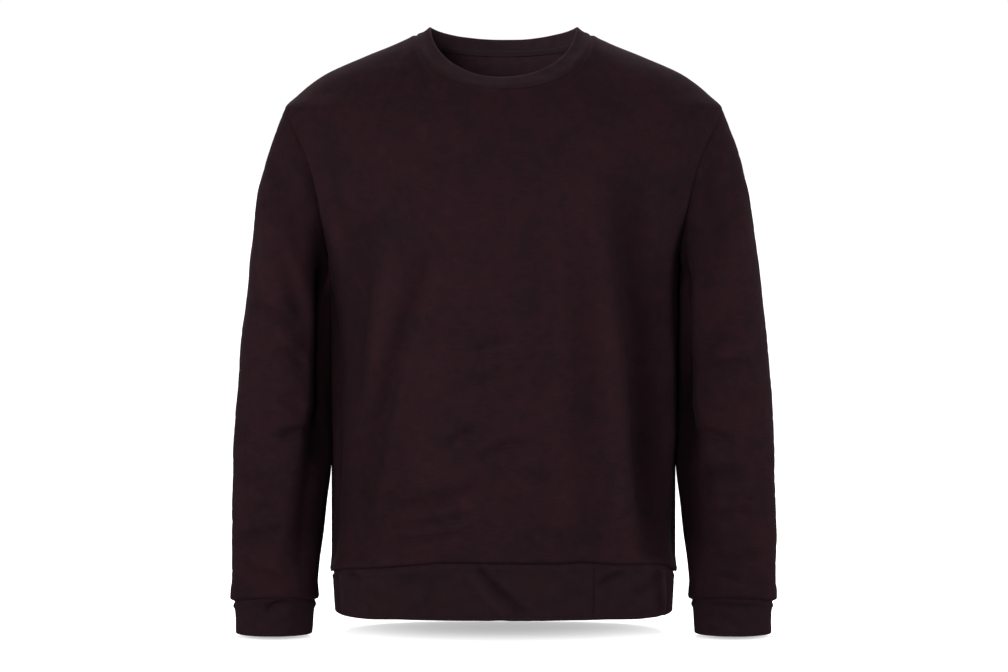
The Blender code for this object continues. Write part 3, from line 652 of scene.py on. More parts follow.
def clear_of_body(points, from_underarm):
    """Points of the sleeve, moved out where they would press into the body's side.

    Just below the underarm the sleeve's innermost line lies on the body, so that nothing shows between them.
    """
    x, y, z = np.moveaxis(points, -1, 0)
    limit = body_side(y, z) + BODY_CLEARANCE
    x = limit + CONTACT_SOFTNESS * np.logaddexp(0, (x - limit) / CONTACT_SOFTNESS)
    touching = smooth_step((z - UNDERARM_Z) / TOUCH_HEIGHT + TOUCH_LEAD)
    touching = touching * smooth_step((TOUCH_TURN - from_underarm) / (TOUCH_TURN / 2))
    return np.stack([x - touching * np.maximum(x - limit, 0), y, z], axis=-1)


def armhole_frame(seam):
    """At each armhole point: the direction away from the armhole's middle, and out along the sleeve."""
    along = unit(np.roll(seam, -1, axis=0) - np.roll(seam, 1, axis=0))
    away = square_to(seam - seam.mean(axis=0), along)
    return away, unit(np.cross(along, away))


def armhole_parting(edge):
    """Out along the sleeve at each point of the armhole's front half. Its back half takes the same."""
    _, out = armhole_frame(np.concatenate([edge, (edge * (1, -1, 1))[::-1][1:-1]]))
    return unit(out[: len(edge)] * (1, 0, 1))


def armhole_ring(front, back):
    """The armhole seam on the wearer's left: up the front's edge from the underarm, down the back's."""
    return np.concatenate([front[ARMHOLE, -1][:-1], back[ARMHOLE, -1][:0:-1]])


def plain_sleeve(seam):
    """The wearer's left sleeve with no creases, from the cuff seam up to the armhole seam."""
    turns, from_underarm = arm_turns(len(seam))
    top_z = SLEEVE_LEVELS[0][0]
    heights = top_z - seam_spaced(top_z - SLEEVE_LEVELS[-1][0], STEP, False, True)
    lower = sleeve_rings(SLEEVE_LEVELS, heights, turns)
    away, out = armhole_frame(seam)
    lean, bulge, down = np.array(smooth_curves(SLEEVE_SET, np.degrees(from_underarm)))[..., None]
    start = unit(out * lean + away * bulge - UP * down)
    below = unit(lower[round(CAP_LEAD / STEP)] - lower[0])
    span = np.linalg.norm(lower[0] - seam, axis=1, keepdims=True)
    near = SEAM_STEPS / (3 * CAP_REACH * span.mean())
    t = np.concatenate([near[:-1], np.linspace(near[-1], 1, CAP_RINGS)[:-1]])[:, None, None]
    cap = (
        seam * (1 - t) ** 3
        + (seam + start * span * CAP_REACH) * 3 * t * (1 - t) ** 2
        + (lower[0] - below * span * CAP_REACH) * 3 * t * t * (1 - t)
        + lower[0] * t**3
    )
    grid = np.concatenate([cap, lower])[::-1]
    grid = np.where(grid[..., 2:] < UNDERARM_Z, clear_of_body(grid, from_underarm), grid)
    grid[-1] = seam
    return grid


def beside_body(from_underarm, z):
    """How far a place on a sleeve lies in the shade between it and the body, from 0 to 1."""
    end, whole = SHADE_TURNS
    start_z, full_z, fade_z, end_z = SHADE_HEIGHTS
    below = smooth_step((start_z - z) / (start_z - full_z)) * smooth_step((z - end_z) / (fade_z - end_z))
    return smooth_step((end - from_underarm) / (end - whole)) * below


def creased_sleeve(plain, creases, seed):
    """A sleeve's creased outer and inner faces, gathered at the cuff, and its painted shade and highlight."""
    turns, from_underarm = arm_turns(plain.shape[1])
    z = plain[..., 2]
    around = np.broadcast_to(turns * SLEEVE_ARC, z.shape)
    degree = math.radians(1) * SLEEVE_ARC
    to_cuff = lengths_along(plain, 0)
    to_armhole = to_cuff[-1:] - to_cuff
    fade = smooth_step(to_cuff / FOLD_FADE) * smooth_step(to_armhole / FOLD_FADE)
    free_side = np.clip((1 - np.cos(turns)) * FREE_SIDE, 0, 1)
    past_tuck = smooth_step(from_underarm / TUCK_START)
    push = crease_push(around, z, creases, degree)
    # Painted shade down in the creases and beside the body; painted highlight on ridges
    painted_shading = hollow_share(push * fade * free_side) + SHADE_DEPTH * beside_body(from_underarm, z)
    push += uneven_push(plain, SLEEVE_UNEVENNESS, seed)
    tucks = np.maximum(crease_push(around, z, SLEEVE_TUCKS, degree), 0) * past_tuck
    gather = sum(strength * np.cos(waves * turns + start) for waves, strength, start in CUFF_GATHERS)
    gather = GATHER_DEPTH * gather * smooth_step(to_cuff / GATHER_START) * np.exp(-to_cuff / GATHER_REACH)
    turned = seam_turn(to_cuff, *SLEEVE_CUFF_TURN) + seam_turn(to_armhole, *SLEEVE_ARMHOLE_TURN) * past_tuck
    sunk = (push * free_side + tucks) * fade + gather
    return *pressed(plain, True, 1, sunk, turned, FLEECE), painted_shading


# ---- the bands ----
def even_ring(front_row, back_row, length):
    """A closed ring of evenly spaced points through a front row and a back row that share their ends."""
    count = round(length / RIB_PITCH) * COLUMNS_PER_RIB
    return along_curve(np.concatenate([front_row, back_row[::-1][1:]]), np.arange(count) / count)


def band_rows(height):
    """Shares of a band's height for its rows, from its seam to its fold."""
    return seam_spaced(height, BAND_STEP, True, False) / height


def hem_band_grid(seam):
    """The hem band, from its folded bottom edge up to the hem seam."""
    top_z, *at_seam = HEM_BAND_LEVELS[0]
    bottom_z = HEM_BAND_LEVELS[-1][0] + RIB / 2
    x, y, z = seam.T
    corner = HEM_CORNER_DROP * smooth_step((np.abs(x) - HEM_CORNER_X) / HEM_CORNER_REACH)
    rings = []
    for share in 1 - band_rows(z.mean() - bottom_z)[::-1]:
        level = smooth_curves(HEM_BAND_LEVELS, bottom_z + (top_z - bottom_z) * share)
        width, front, back = np.array(level) / at_seam
        eased = x * width * (1 + HEM_BAND_EASE * smooth_step((1 - share) / EASE_SHARE))
        height = bottom_z + (z - bottom_z) * share - corner * (1 - share)
        rings.append(np.stack([eased, y * np.where(y < 0, front, back), height], axis=1))
    return np.array(rings)


def neck_top_ring(seam):
    """The neckband's top edge, opposite each point of the neck seam."""
    turn = np.arctan2(seam[:, 0] / NECK_POINT_X, -seam[:, 1] / np.abs(seam[:, 1]).max())
    facing = np.abs(np.cos(turn))
    middles = np.array((NECK_TOP_FRONT, NECK_TOP_BACK))[..., None]
    top_y, top_z, squareness = np.where(np.cos(turn) > 0, *middles)
    rounded = (np.hypot(facing, NECK_CORNER) - NECK_CORNER) / (math.hypot(1, NECK_CORNER) - NECK_CORNER)
    x = NECK_TOP_HALF_WIDTH * squared(np.sin(turn))
    z = NECK_TOP_SIDE_Z + (top_z - NECK_TOP_SIDE_Z) * rounded**squareness
    return np.stack([x, top_y * facing**NECK_TOP_PLAN_SQUARENESS, z], axis=1)


def neckband_grid(seam):
    """The neckband, from the neck seam up to its folded top edge, a little crowned."""
    rise = neck_top_ring(seam) - seam
    height = np.linalg.norm(rise, axis=1, keepdims=True)
    shares = band_rows(height.mean() - RIB / 2)[:, None, None]
    flat = seam + rise * (1 - RIB / 2 / height) * shares
    beside = np.abs(unit(seam[:, :2])[:, :1]) ** SAG_FORM
    crown = np.sin(math.pi * shares) * (NECKBAND_CROWN - (NECKBAND_CROWN + NECKBAND_SIDE_SAG) * beside)
    return flat + grid_normals(flat, True) * crown


def cuff_grid():
    """The wearer's left cuff, from its folded bottom edge up to the cuff seam, evenly spaced round."""
    fine = np.linspace(0, TURN, CURVE_SAMPLES + 1)
    walked = lengths_along(sleeve_rings(CUFF_LEVELS, CUFF_LEVELS[1][:1], fine)[0], 0)
    count = round(walked[-1] / RIB_PITCH) * COLUMNS_PER_RIB
    turns = np.interp(np.arange(count) / count * walked[-1], walked, fine)
    bottom_z = CUFF_LEVELS[-1][0] + RIB / 2
    height = CUFF_LEVELS[0][0] - bottom_z
    return sleeve_rings(CUFF_LEVELS, bottom_z + height * (1 - band_rows(height)[::-1]), turns)


def creased_band(plain, front_creases, back_creases, seam_first, seed, seam=BAND_TURN):
    """A band's creased outer and inner faces, and its painted shade and highlight.

    seam_first says that its seam is its first ring.
    """
    up = lengths_along(plain, 0)
    to_seam = up if seam_first else up[-1:] - up
    x, y, z = np.moveaxis(plain, -1, 0)
    push = np.where(y < y.mean(), crease_push(x, z, front_creases), crease_push(x, z, back_creases))
    painted_shading = BAND_HOLLOW * hollow_share(push)
    push += uneven_push(plain, BAND_UNEVENNESS, seed)
    sunk = push * smooth_step(to_seam / BAND_FOLD_FADE)
    return *pressed(plain, True, 1, sunk, seam_turn(to_seam, *seam), RIB), painted_shading


# ---- shells ----
def mirrored(grid):
    """A ring grid of points or values on the wearer's other side, turned round so that it faces out."""
    turned = np.roll(grid[:, ::-1], 1, axis=1)
    return turned * (-1, 1, 1) if grid.ndim == 3 else turned


def to_parting(points, seam, towards, only_past=False):
    """Moves points, or only those past it, to half the seam gap behind their seam's parting plane."""
    past = ((points - seam) * towards).sum(axis=-1, keepdims=True) + SEAM_GAP / 2
    return points - towards * (np.maximum(past, 0) if only_past else past)


def part_panel(skin, plain, side, is_inner):
    """Brings a body panel's outer or inner face up to its neighbours along all four borders."""
    for column in (0, -1):
        mirror = (1 if column else -1, 1, 1)
        seam, edge = plain[:, column] * mirror, skin[:, column] * mirror
        for part in (slice(0, ARMHOLE_FIRST + 1), slice(ARMHOLE_LAST, len(plain))):
            edge[part] = to_parting(edge[part], seam[part], np.array((0, -side, 0)), True)
        edge[ARMHOLE] = to_parting(edge[ARMHOLE], seam[ARMHOLE], armhole_out, is_inner)
        skin[:, column] = edge * mirror
    skin[0] = to_parting(skin[0], plain[0], -UP)
    along = unit(np.gradient(plain[-1], axis=0))
    skin[-1] = to_parting(skin[-1], plain[-1], square_to(neck_top_ring(plain[-1]) - plain[-1], along))


def part_sleeve(skin, plain, is_inner):
    """Brings a sleeve's outer or inner face up to the cuff and to the body panels."""
    into_body = -np.concatenate([armhole_out, armhole_out[1:-1][::-1]])
    skin[0] = to_parting(skin[0], plain[0], -UP)
    skin[-1] = to_parting(skin[-1], plain[-1], into_body, is_inner)


def fold_between(outer, inner, before):
    """Rings round a folded edge, from the outer face's last ring to the inner one's."""
    middle = (outer + inner) / 2
    aside = (outer - inner) / 2
    beyond = unit(outer - before) * np.linalg.norm(aside, axis=1, keepdims=True)
    angles = np.linspace(0, math.pi, FOLD_RINGS + 2)[1:-1]
    return [middle + aside * math.cos(a) + beyond * math.sin(a) for a in angles]


def walked_round(grid):
    """The distance walked round a grid's middle ring and back to its start."""
    middle = grid[len(grid) // 2]
    return lengths_along(np.concatenate([middle, middle[:1]]), 0)


def shell(outer, inner, closed, painted_shading=None, folded=None, u_scale=1):
    """A closed thin shell between two grids: its points, faces, UV, inside shares and painted shading.

    folded names the end, "first" or "last", whose rim is a rounded fold. The UV runs in metres along the
    rows and up the columns.
    """
    rows, columns = outer.shape[:2]
    last_rim = fold_between(outer[-1], inner[-1], outer[-2]) if folded == "last" else []
    first_rim = fold_between(outer[0], inner[0], outer[1])[::-1] if folded == "first" else []
    points = np.array([*outer, *last_rim, *inner[::-1], *first_rim])
    order = [*range(rows), *[rows - 1] * len(last_rim), *range(rows)[::-1], *[0] * len(first_rim)]
    total = len(order)
    inside = np.repeat((0, 0.5, 1, 0.5), (rows, len(last_rim), rows, len(first_rim)))
    painted_shading = (np.zeros((rows, columns)) if painted_shading is None else painted_shading)[order]
    heights = lengths_along(outer, 0).mean(axis=1)[order]
    if closed:
        around = np.broadcast_to(walked_round(outer) * u_scale, (total, columns + 1))
    else:
        across = lengths_along(outer, 1)
        around = (across - across[:, -1:] / 2)[order]

    k, c = np.indices((total, columns if closed else columns - 1)).reshape(2, -1)
    corners = [((k, c), (k, c + 1), ((k + 1) % total, c + 1), ((k + 1) % total, c))]
    if not closed:
        k = np.arange(rows - 1)
        first, last, far = 0 * k, 0 * k + columns - 1, total - 1 - k
        corners.append(((k, first), (k + 1, first), (far - 1, first), (far, first)))
        corners.append(((k + 1, last), (k, last), (far, last), (far - 1, last)))
    row, column = np.concatenate(corners, axis=2).transpose(1, 2, 0)
    faces = row * columns + column % columns
    uv = np.stack([around[row, column], heights[row]], axis=2)
    return points.reshape(-1, 3), faces, uv, np.repeat(inside, columns), painted_shading.ravel()


def new_object(name, data):
    obj = bpy.data.objects.new(name, data)
    bpy.context.collection.objects.link(obj)
    return obj


def add_values(mesh, name, values):
    """Stores a number or a direction on each point."""
    kind, key = ("FLOAT", "value") if np.ndim(values) == 1 else ("FLOAT_VECTOR", "vector")
    mesh.attributes.new(name, kind, "POINT").data.foreach_set(key, np.ravel(values))


def cloth_object(name, shells, material):
    """One object of one or more shells, with UV map "cloth" and attributes "inside" and "painted_shading"."""
    points, faces, *values = zip(*shells)
    starts = np.cumsum([0, *map(len, points)])
    faces = [part + start for part, start in zip(faces, starts)]
    uv, inside, painted_shading = map(np.concatenate, values)
    mesh = bpy.data.meshes.new(name)
    mesh.from_pydata(np.concatenate(points).tolist(), [], np.concatenate(faces).tolist())
    mesh.uv_layers.new(name="cloth").data.foreach_set("uv", uv.ravel())
    add_values(mesh, "inside", inside)
    add_values(mesh, "painted_shading", painted_shading)
    mesh.materials.append(material)
    mesh.shade_smooth()
    mesh.set_sharp_from_angle(angle=math.radians(SHARP_ANGLE))
    return new_object(name, mesh)


# ---- seam allowances ----
def allowance(skin, closed, start, width, thickness):
    """A strip along the first row of an inner skin.

    It returns the strip's shell, its top's rows, and the way out of the cloth at each point of them.
    """
    share = np.linspace(0, 1, 6)
    columns = skin[:BORDER_ROWS].swapaxes(0, 1)
    base = np.stack([along_curve(column, 0, start + width * share) for column in columns], axis=1)
    inward = -grid_normals(base, closed)
    crown = np.sqrt(np.clip(1 - (2 * share - 1) ** 4, 0, 1))[:, None, None]
    top = base + inward * (STRIP_EDGE + thickness * (0.35 + 0.65 * crown))
    return shell(base + inward * STRIP_GAP, top, closed), top, inward


# ---- shader nodes ----
def maths(operation, reflected=False):
    """A method that adds a Math node on a socket and what it is given."""

    def method(self, *others):
        sides = (*others, self) if reflected else (self, *others)
        return self.shader.node("ShaderNodeMath", {"operation": operation}, dict(enumerate(sides)))

    return method


class Socket:
    """A shader socket whose arithmetic adds Math nodes."""

    def __init__(self, shader, link):
        self.shader = shader
        self.link = link

    __add__ = __radd__ = maths("ADD")
    __sub__ = maths("SUBTRACT")
    __rsub__ = maths("SUBTRACT", reflected=True)
    __mul__ = __rmul__ = maths("MULTIPLY")
    __truediv__ = maths("DIVIDE")
    absolute = maths("ABSOLUTE")
    cosine = maths("COSINE")
    fraction = maths("FRACT")
    soft_least = maths("SMOOTH_MIN")


class Shader:
    """A material's node tree, or any other tree with the same sockets."""

    def __init__(self, tree):
        self.tree = tree

    def node(self, kind, settings=None, sockets=None, output=0):
        """Adds a node, sets its settings, then its sockets by name or number, and gives an output."""
        made = self.tree.nodes.new(kind)
        for name, value in (settings or {}).items():
            setattr(made, name, value)
        for key, value in (sockets or {}).items():
            if isinstance(value, Socket):
                self.tree.links.new(value.link, made.inputs[key])
            else:
                made.inputs[key].default_value = value
        return Socket(self, made.outputs[output]) if made.outputs else None

    def place(self):
        """Object coordinates."""
        return self.node("ShaderNodeTexCoord", output=3)

    def cloth(self):
        """The cloth's own UV map, in metres."""
        return self.node("ShaderNodeUVMap", {"uv_map": "cloth"})

    def attribute(self, name):
        return self.node("ShaderNodeAttribute", {"attribute_name": name}, output=2)

    def split(self, vector):
        """A vector's first two values."""
        made = self.node("ShaderNodeSeparateXYZ", {}, {0: vector}).link.node
        return Socket(self, made.outputs[0]), Socket(self, made.outputs[1])

    def noise(self, vector, scale, detail, roughness=0.5):
        sockets = {"Vector": vector, "Scale": scale, "Detail": detail, "Roughness": roughness}
        return self.node("ShaderNodeTexNoise", {}, sockets)

    def ramp(self, value, low, high):
        """From 0 where a value is low to 1 where it is high."""
        return self.node("ShaderNodeMapRange", {}, {"Value": value, "From Min": low, "From Max": high})

    def scaled(self, vector, factor):
        return self.node("ShaderNodeVectorMath", {"operation": "SCALE"}, {0: vector, "Scale": factor})

    def bump(self, strength, distance, height, **normal):
        """A bump, over the bump given as Normal if there is one."""
        sockets = {"Strength": strength, "Distance": distance, "Height": height, **normal}
        return self.node("ShaderNodeBump", {}, sockets)

    def mix(self, factor, a, b):
        """A colour between two colours."""
        sockets = {"Factor": factor, 6: with_alpha(a), 7: with_alpha(b)}
        return self.node("ShaderNodeMix", {"data_type": "RGBA"}, sockets, 2)

    def shades(self, factor, colour, spread, lightness=1):
        """A colour between ones that are darker and lighter than a given one by a share."""
        return self.mix(factor, *([c * lightness * (1 + way * spread) for c in colour] for way in (-1, 1)))

    def finish(self, sockets):
        """Adds the shader itself: a number is set on its own socket, and a link brings its pattern."""
        surface = self.node("ShaderNodeBsdfPrincipled", {}, sockets)
        self.node("ShaderNodeOutputMaterial", {}, {"Surface": surface})

    def finish_knit(self, colour, tint, roughness, normal):
        """Ends a knit's material: darkened by painted shade in its hollows and lightened by painted highlight
        on ridges, with the sheen of its nap.
        """
        colour = self.scaled(colour, 1 - HOLLOW_SHADE * self.attribute("painted_shading"))
        sockets = {"Base Color": colour, "Roughness": roughness, "Normal": normal, "Sheen Tint": tint}
        self.finish({**sockets, **NAP})


def with_alpha(colour):
    return colour if isinstance(colour, Socket) else (*colour, 1)


def new_material(name):
    material = bpy.data.materials.new(name)
    material.use_nodes = True
    material.node_tree.nodes.clear()
    return material, Shader(material.node_tree)


def zigzag(share):
    """A line up and down between 0 and 1 as a share runs from 0 to 1."""
    return (share * 2 - 1).absolute()


# ---- materials ----
FLEECE_DARK = (0.0138, 0.008, 0.01)
FLEECE_LIGHT = (0.028, 0.0106, 0.0142)
# The fleece's looped back is painted much lighter than its face: painted light standing in for the light that
# falls inside the garment
BACKING_WITH_PAINTED_LIGHT = (0.0575, 0.0301, 0.0377)
RIB_COLOUR = (0.0204, 0.0102, 0.0127)
# Painted light: the rib's inside is painted much lighter than its face, for the light that falls inside the
# garment
RIB_INSIDE_WITH_PAINTED_LIGHT = (0.04, 0.0226, 0.0272)
# The neckband is the same rib knit as the hem band and cuffs, made this much lighter
NECK_RIB_LIGHTNESS = 1.2
# The "tape" thread is near-black for the painted shadow under the neck tape's lower edge, and the "overlock"
# thread also draws the painted highlight along the tape's top edge
THREAD_COLOURS = {"overlock": (0.085, 0.056, 0.064), "tape": (0.008, 0.0045, 0.0058)}
TAPE_COLOUR = (0.042, 0.025, 0.03)
NAP = {"Sheen Weight": 0.022, "Sheen Roughness": 0.3, "Specular IOR Level": 0.04}
# Painted shade: how much darker the colour is painted at a share of 1 of painted shading, in a crease, along
# a seam or beside the body; below 0 it is painted lighter as a highlight
HOLLOW_SHADE = 0.36
# Width of a wale and height of a course on the face, and of the loops on the back
FACE_KNIT = (0.0011, 0.00085)
BACK_LOOPS = (0.0021, 0.0016)
RIB_COURSE = 0.0011
# Pitch of the twill and width of its herringbone
TAPE_TWILL = 0.0009
TAPE_HERRINGBONE = 0.002


def fleece_material():
    """Brushed sweatshirt fleece: a fine knit face outside, a looped back inside."""
    material, s = new_material("sweatshirt_fleece")
    place, cloth, inside = s.place(), s.cloth(), s.attribute("inside")
    u, v = s.split(cloth)

    cloudy = s.noise(place, 16, 3, 0.6)
    mottled = s.noise(place, 80, 4, 0.65)
    nap = s.noise(place, 900, 3, 0.6)
    streaks = s.node("ShaderNodeVectorMath", {"operation": "MULTIPLY"}, {0: cloth, 1: (60, 420, 0)})
    slub = s.noise(streaks, 1, 3, 0.6)
    tone = s.ramp(0.36 * cloudy + 0.42 * mottled + 0.3 * nap + 0.36 * slub - 0.22, 0.34, 0.66)

    wale = (u * (1 / FACE_KNIT[0])).fraction()
    course = ((v * (1 / FACE_KNIT[1]) + zigzag(wale) * 0.7) * TURN).cosine()
    knit = 0.5 - 0.3 * (wale * TURN).cosine() + 0.2 * course
    loops = (v * (1 / BACK_LOOPS[1]) * TURN).cosine() * (u * (1 / BACK_LOOPS[0]) * TURN).cosine()
    backing = 0.5 + 0.35 * loops

    height = (1 - inside) * (0.6 * knit + 0.4 * nap) + inside * (0.7 * backing + 0.3 * nap)
    normal = s.bump(0.35, 0.0009, mottled, Normal=s.bump(0.3, 0.00022, height))
    face = s.mix(tone, FLEECE_DARK, FLEECE_LIGHT)
    back = s.shades(tone, BACKING_WITH_PAINTED_LIGHT, 0.22)
    s.finish_knit(s.mix(inside, face, back), (0.95, 0.72, 0.78, 1), 0.9 + 0.1 * nap, normal)
    return material


def rib_material(name, lightness):
    """Fine rib knit: raised wales, with painted shade in the furrows between them."""
    material, s = new_material(name)
    place = s.place()
    u, v = s.split(s.cloth())
    mottled = s.noise(place, 80, 4, 0.6)
    nap = s.noise(place, 1100, 3, 0.6)
    wales = (u * (TURN / RIB_PITCH)).cosine()
    course = (v * (TURN / RIB_COURSE) + wales * 1.2).cosine()
    # Painted shade: the tone is darker in the furrows between the wales
    tone = s.ramp(0.5 * mottled + 0.35 * nap + 0.075 * (wales + 1), 0.34, 0.68)
    normal = s.bump(0.35, 0.00025, 0.45 * wales + 0.25 * course + 0.5 * nap)
    face = s.shades(tone, RIB_COLOUR, 0.22, lightness)
    back = s.shades(tone, RIB_INSIDE_WITH_PAINTED_LIGHT, 0.2, lightness)
    colour = s.mix(s.attribute("inside"), face, back)
    s.finish_knit(colour, (0.95, 0.74, 0.8, 1), 0.88 + 0.1 * nap, normal)
    return material


def thread_material(name, colour):
    """Spun sewing thread."""
    material, s = new_material(name)
    twist = s.noise(s.place(), 2600, 2)
    colour = s.shades(twist, colour, 0.25)
    s.finish({"Base Color": colour, "Roughness": 0.6 + 0.2 * twist, "Specular IOR Level": 0.15})
    return material


def tape_cloth_material():
    """Woven tape: a fine herringbone twill."""
    material, s = new_material("twill_tape")
    cloth = s.cloth()
    u, v = s.split(cloth)
    herringbone = zigzag((v * (1 / TAPE_HERRINGBONE)).fraction())
    twill = ((u * (1 / TAPE_TWILL) + herringbone * 0.9) * TURN).cosine()
    grain = s.noise(cloth, 900, 2)
    tone = 0.5 + 0.25 * twill + 0.5 * (grain - 0.5)
    colour, normal = s.shades(tone, TAPE_COLOUR, 0.2), s.bump(0.4, 0.00015, tone)
    rough = 0.8 + 0.1 * grain
    s.finish({"Base Color": colour, "Roughness": rough, "Normal": normal, "Specular IOR Level": 0.08})
    return material


# ---- geometry nodes ----
def new_nodes(name, *sizes):
    """A Geometry Nodes tree: its shader, its given sockets, and the identifiers of its inputs by name."""
    tree = bpy.data.node_groups.new(name, "GeometryNodeTree")
    kinds = {"Geometry": "Geometry", **dict.fromkeys(sizes, "Float"), "Material": "Material"}
    inputs = {}
    for label, kind in kinds.items():
        socket = tree.interface.new_socket(label, in_out="INPUT", socket_type=f"NodeSocket{kind}")
        inputs[label] = socket.identifier
    tree.interface.new_socket("Geometry", in_out="OUTPUT", socket_type="NodeSocketGeometry")
    g = Shader(tree)
    given = g.node("NodeGroupInput").link.node
    return g, [Socket(g, given.outputs[i]) for i in range(len(kinds))], inputs


def finish_nodes(g, geometry, material):
    """Ends a tree in real geometry of one material."""
    real = g.node("GeometryNodeRealizeInstances", {}, {"Geometry": geometry})
    done = g.node("GeometryNodeSetMaterial", {}, {"Geometry": real, "Material": material})
    g.node("NodeGroupOutput", {}, {0: done})
    return g.tree


def named_value(g, name, kind="FLOAT"):
    return g.node("GeometryNodeInputNamedAttribute", {"data_type": kind}, {"Name": name})


def rib_nodes():
    """Raises the wales of rib knit along the shell's normals."""
    g, (cloth, pitch, height, material), inputs = new_nodes("raise_ribs", "Pitch", "Height")
    wave = (named_value(g, "rib_walk") / pitch * TURN).cosine() * height * named_value(g, "rib_fade")
    lift = g.scaled(g.node("GeometryNodeInputNormal"), wave)
    raised = g.node("GeometryNodeSetPosition", {}, {"Geometry": cloth, "Offset": lift})
    return finish_nodes(g, raised, material), inputs


def stitch_nodes():
    """Lays short bowed threads along a line of edges, each across the line by its width."""
    sizes = ("Spacing", "Length", "Width", "Sink", "Rise", "Thread")
    g, given, inputs = new_nodes("lay_stitches", *sizes)
    line, spacing, length, width, sink, rise, thread, material = given
    curve = g.node("GeometryNodeMeshToCurve", {}, {"Mesh": line})
    even = g.node("GeometryNodeResampleCurve", {"mode": "LENGTH"}, {"Curve": curve, "Length": spacing})
    directions = {0: g.node("GeometryNodeInputTangent"), 1: named_value(g, "cloth_out", "FLOAT_VECTOR")}
    axes = {"primary_axis": "X", "secondary_axis": "Z"}
    turn = g.node("FunctionNodeAxesToRotation", axes, directions)
    start, end = (
        g.node("ShaderNodeCombineXYZ", {}, {"X": length * (0.5 * way), "Y": width * (0.5 * way), "Z": sink})
        for way in (-1, 1)
    )
    middle = g.node("ShaderNodeCombineXYZ", {}, {"Z": rise})
    path = {"Resolution": 4, "Start": start, "Middle": middle, "End": end}
    bow = g.node("GeometryNodeCurveQuadraticBezier", {}, path)
    rim = g.node("GeometryNodeCurvePrimitiveCircle", {}, {"Resolution": 5, "Radius": thread})
    tube = {"Curve": bow, "Profile Curve": rim, "Fill Caps": True}
    stitch = g.node("GeometryNodeCurveToMesh", {}, tube)
    laid = {"Points": even, "Instance": stitch, "Rotation": turn}
    return finish_nodes(g, g.node("GeometryNodeInstanceOnPoints", {}, laid), material), inputs


def apply_nodes(obj, nodes, **values):
    """Runs a node tree on an object and leaves the result as its plain mesh."""
    tree, inputs = nodes
    modifier = obj.modifiers.new(tree.name, "NODES")
    modifier.node_group = tree
    for name, value in values.items():
        modifier[inputs[name]] = value
    bpy.context.view_layer.update()
    graph = bpy.context.evaluated_depsgraph_get()
    made = bpy.data.meshes.new_from_object(obj.evaluated_get(graph), depsgraph=graph)
    obj.modifiers.clear()
    old, obj.data = obj.data, made
    bpy.data.meshes.remove(old)
    made.name = obj.name
    return obj


def rib_band(name, outer, inner, painted_shading, plain, seam_first, material):
    """A doubled rib band as a shell with its wales raised."""
    columns = outer.shape[1]
    end = 0 if seam_first else -1
    towards = unit(plain[0] - plain[1]) if seam_first else UP
    outer[end] = to_parting(outer[end], plain[end], towards)
    inner[end] = to_parting(inner[end], plain[end], towards)
    walk = np.arange(columns) / COLUMNS_PER_RIB * RIB_PITCH
    u_scale = columns / COLUMNS_PER_RIB * RIB_PITCH / walked_round(outer)[-1]
    parts = shell(outer, inner, True, painted_shading, "last" if seam_first else "first", u_scale)
    obj = cloth_object(name, [parts], material)
    add_values(obj.data, "rib_walk", np.tile(walk, len(obj.data.vertices) // columns))
    distance = lengths_along(plain, 0).mean(axis=1)
    near = smooth_step((distance if seam_first else distance[-1] - distance) / RIB_START)
    rim = np.ones(FOLD_RINGS)
    fade = [*near, *rim, *near[::-1]] if seam_first else [*near, *near[::-1], *rim]
    add_values(obj.data, "rib_fade", np.repeat(fade, columns))
    return apply_nodes(obj, ribs, Pitch=RIB_PITCH, Height=RIB_HEIGHT, Material=material)


def stitch_rows(name, lines, material, **sizes):
    """Rows of stitches as one object. lines are pairs of points and the way out of the cloth there."""
    points, outs = map(np.concatenate, zip(*lines))
    ends = set(np.cumsum([len(line) for line, _ in lines]) - 1)
    mesh = bpy.data.meshes.new(name)
    mesh.from_pydata(points.tolist(), [(i, i + 1) for i in range(len(points)) if i not in ends], [])
    add_values(mesh, "cloth_out", outs)
    obj = apply_nodes(new_object(name, mesh), stitches, Material=material, **sizes)
    obj.data.shade_smooth()
    return obj


# ---- the garment ----
# How thread lies: across an allowance's edge, and along the neck tape
OVERLOCK_STITCH = {"Spacing": 0.0026, "Length": 0.0011, "Sink": -0.0006, "Rise": 0.0009, "Thread": 0.00018}
OVERLOCK_STITCH["Width"] = ALLOWANCE[1] * 0.94
TAPE_STITCH = {"Spacing": 0.003, "Length": 0.0028, "Width": 0.0, "Sink": 0.0, "Rise": 0.0004}
# The tape's two rows: name, row of its points, thread's material and half thickness. Both are real stitch
# rows; the lower one's thick near-black thread is also a painted shadow under the tape's lower edge, and the
# upper one's light thread a painted highlight along its top edge
TAPE_ROWS = (("lower", 0, "tape", 0.00045), ("upper", 4, "overlock", 0.00012))


def overlocked(name, *skins, closed=False):
    """Overlocked allowances along the first rows of inner skins as one object, their thread as another."""
    strips = [allowance(skin, closed, *ALLOWANCE) for skin in skins]
    cloth = cloth_object(f"{name}_allowances", [parts for parts, *_ in strips], fleece)
    lines = [((top[2] + top[3]) / 2, inward[2]) for _, top, inward in strips]
    return [cloth, stitch_rows(f"{name}_overlock", lines, threads["overlock"], **OVERLOCK_STITCH)]


def turned_over(skin):
    """A grid seen from its last row, still facing the same way."""
    return skin[::-1, ::-1]


def sideways(skin):
    """A grid with its first column as its first row, still facing the same way."""
    return np.swapaxes(skin, 0, 1)[:, ::-1]


def body_panel(name, plain, side, creases, shades, seed):
    """A body panel, and its inner face."""
    outer, inner, painted_shading = creased_panel(plain, side, creases, shades, seed)
    part_panel(outer, plain, side, False)
    part_panel(inner, plain, side, True)
    # The columns run so that each face looks out
    outer, inner, painted_shading = (grid[:, ::-side] for grid in (outer, inner, painted_shading))
    return cloth_object(name, [shell(outer, inner, False, painted_shading)], fleece), inner


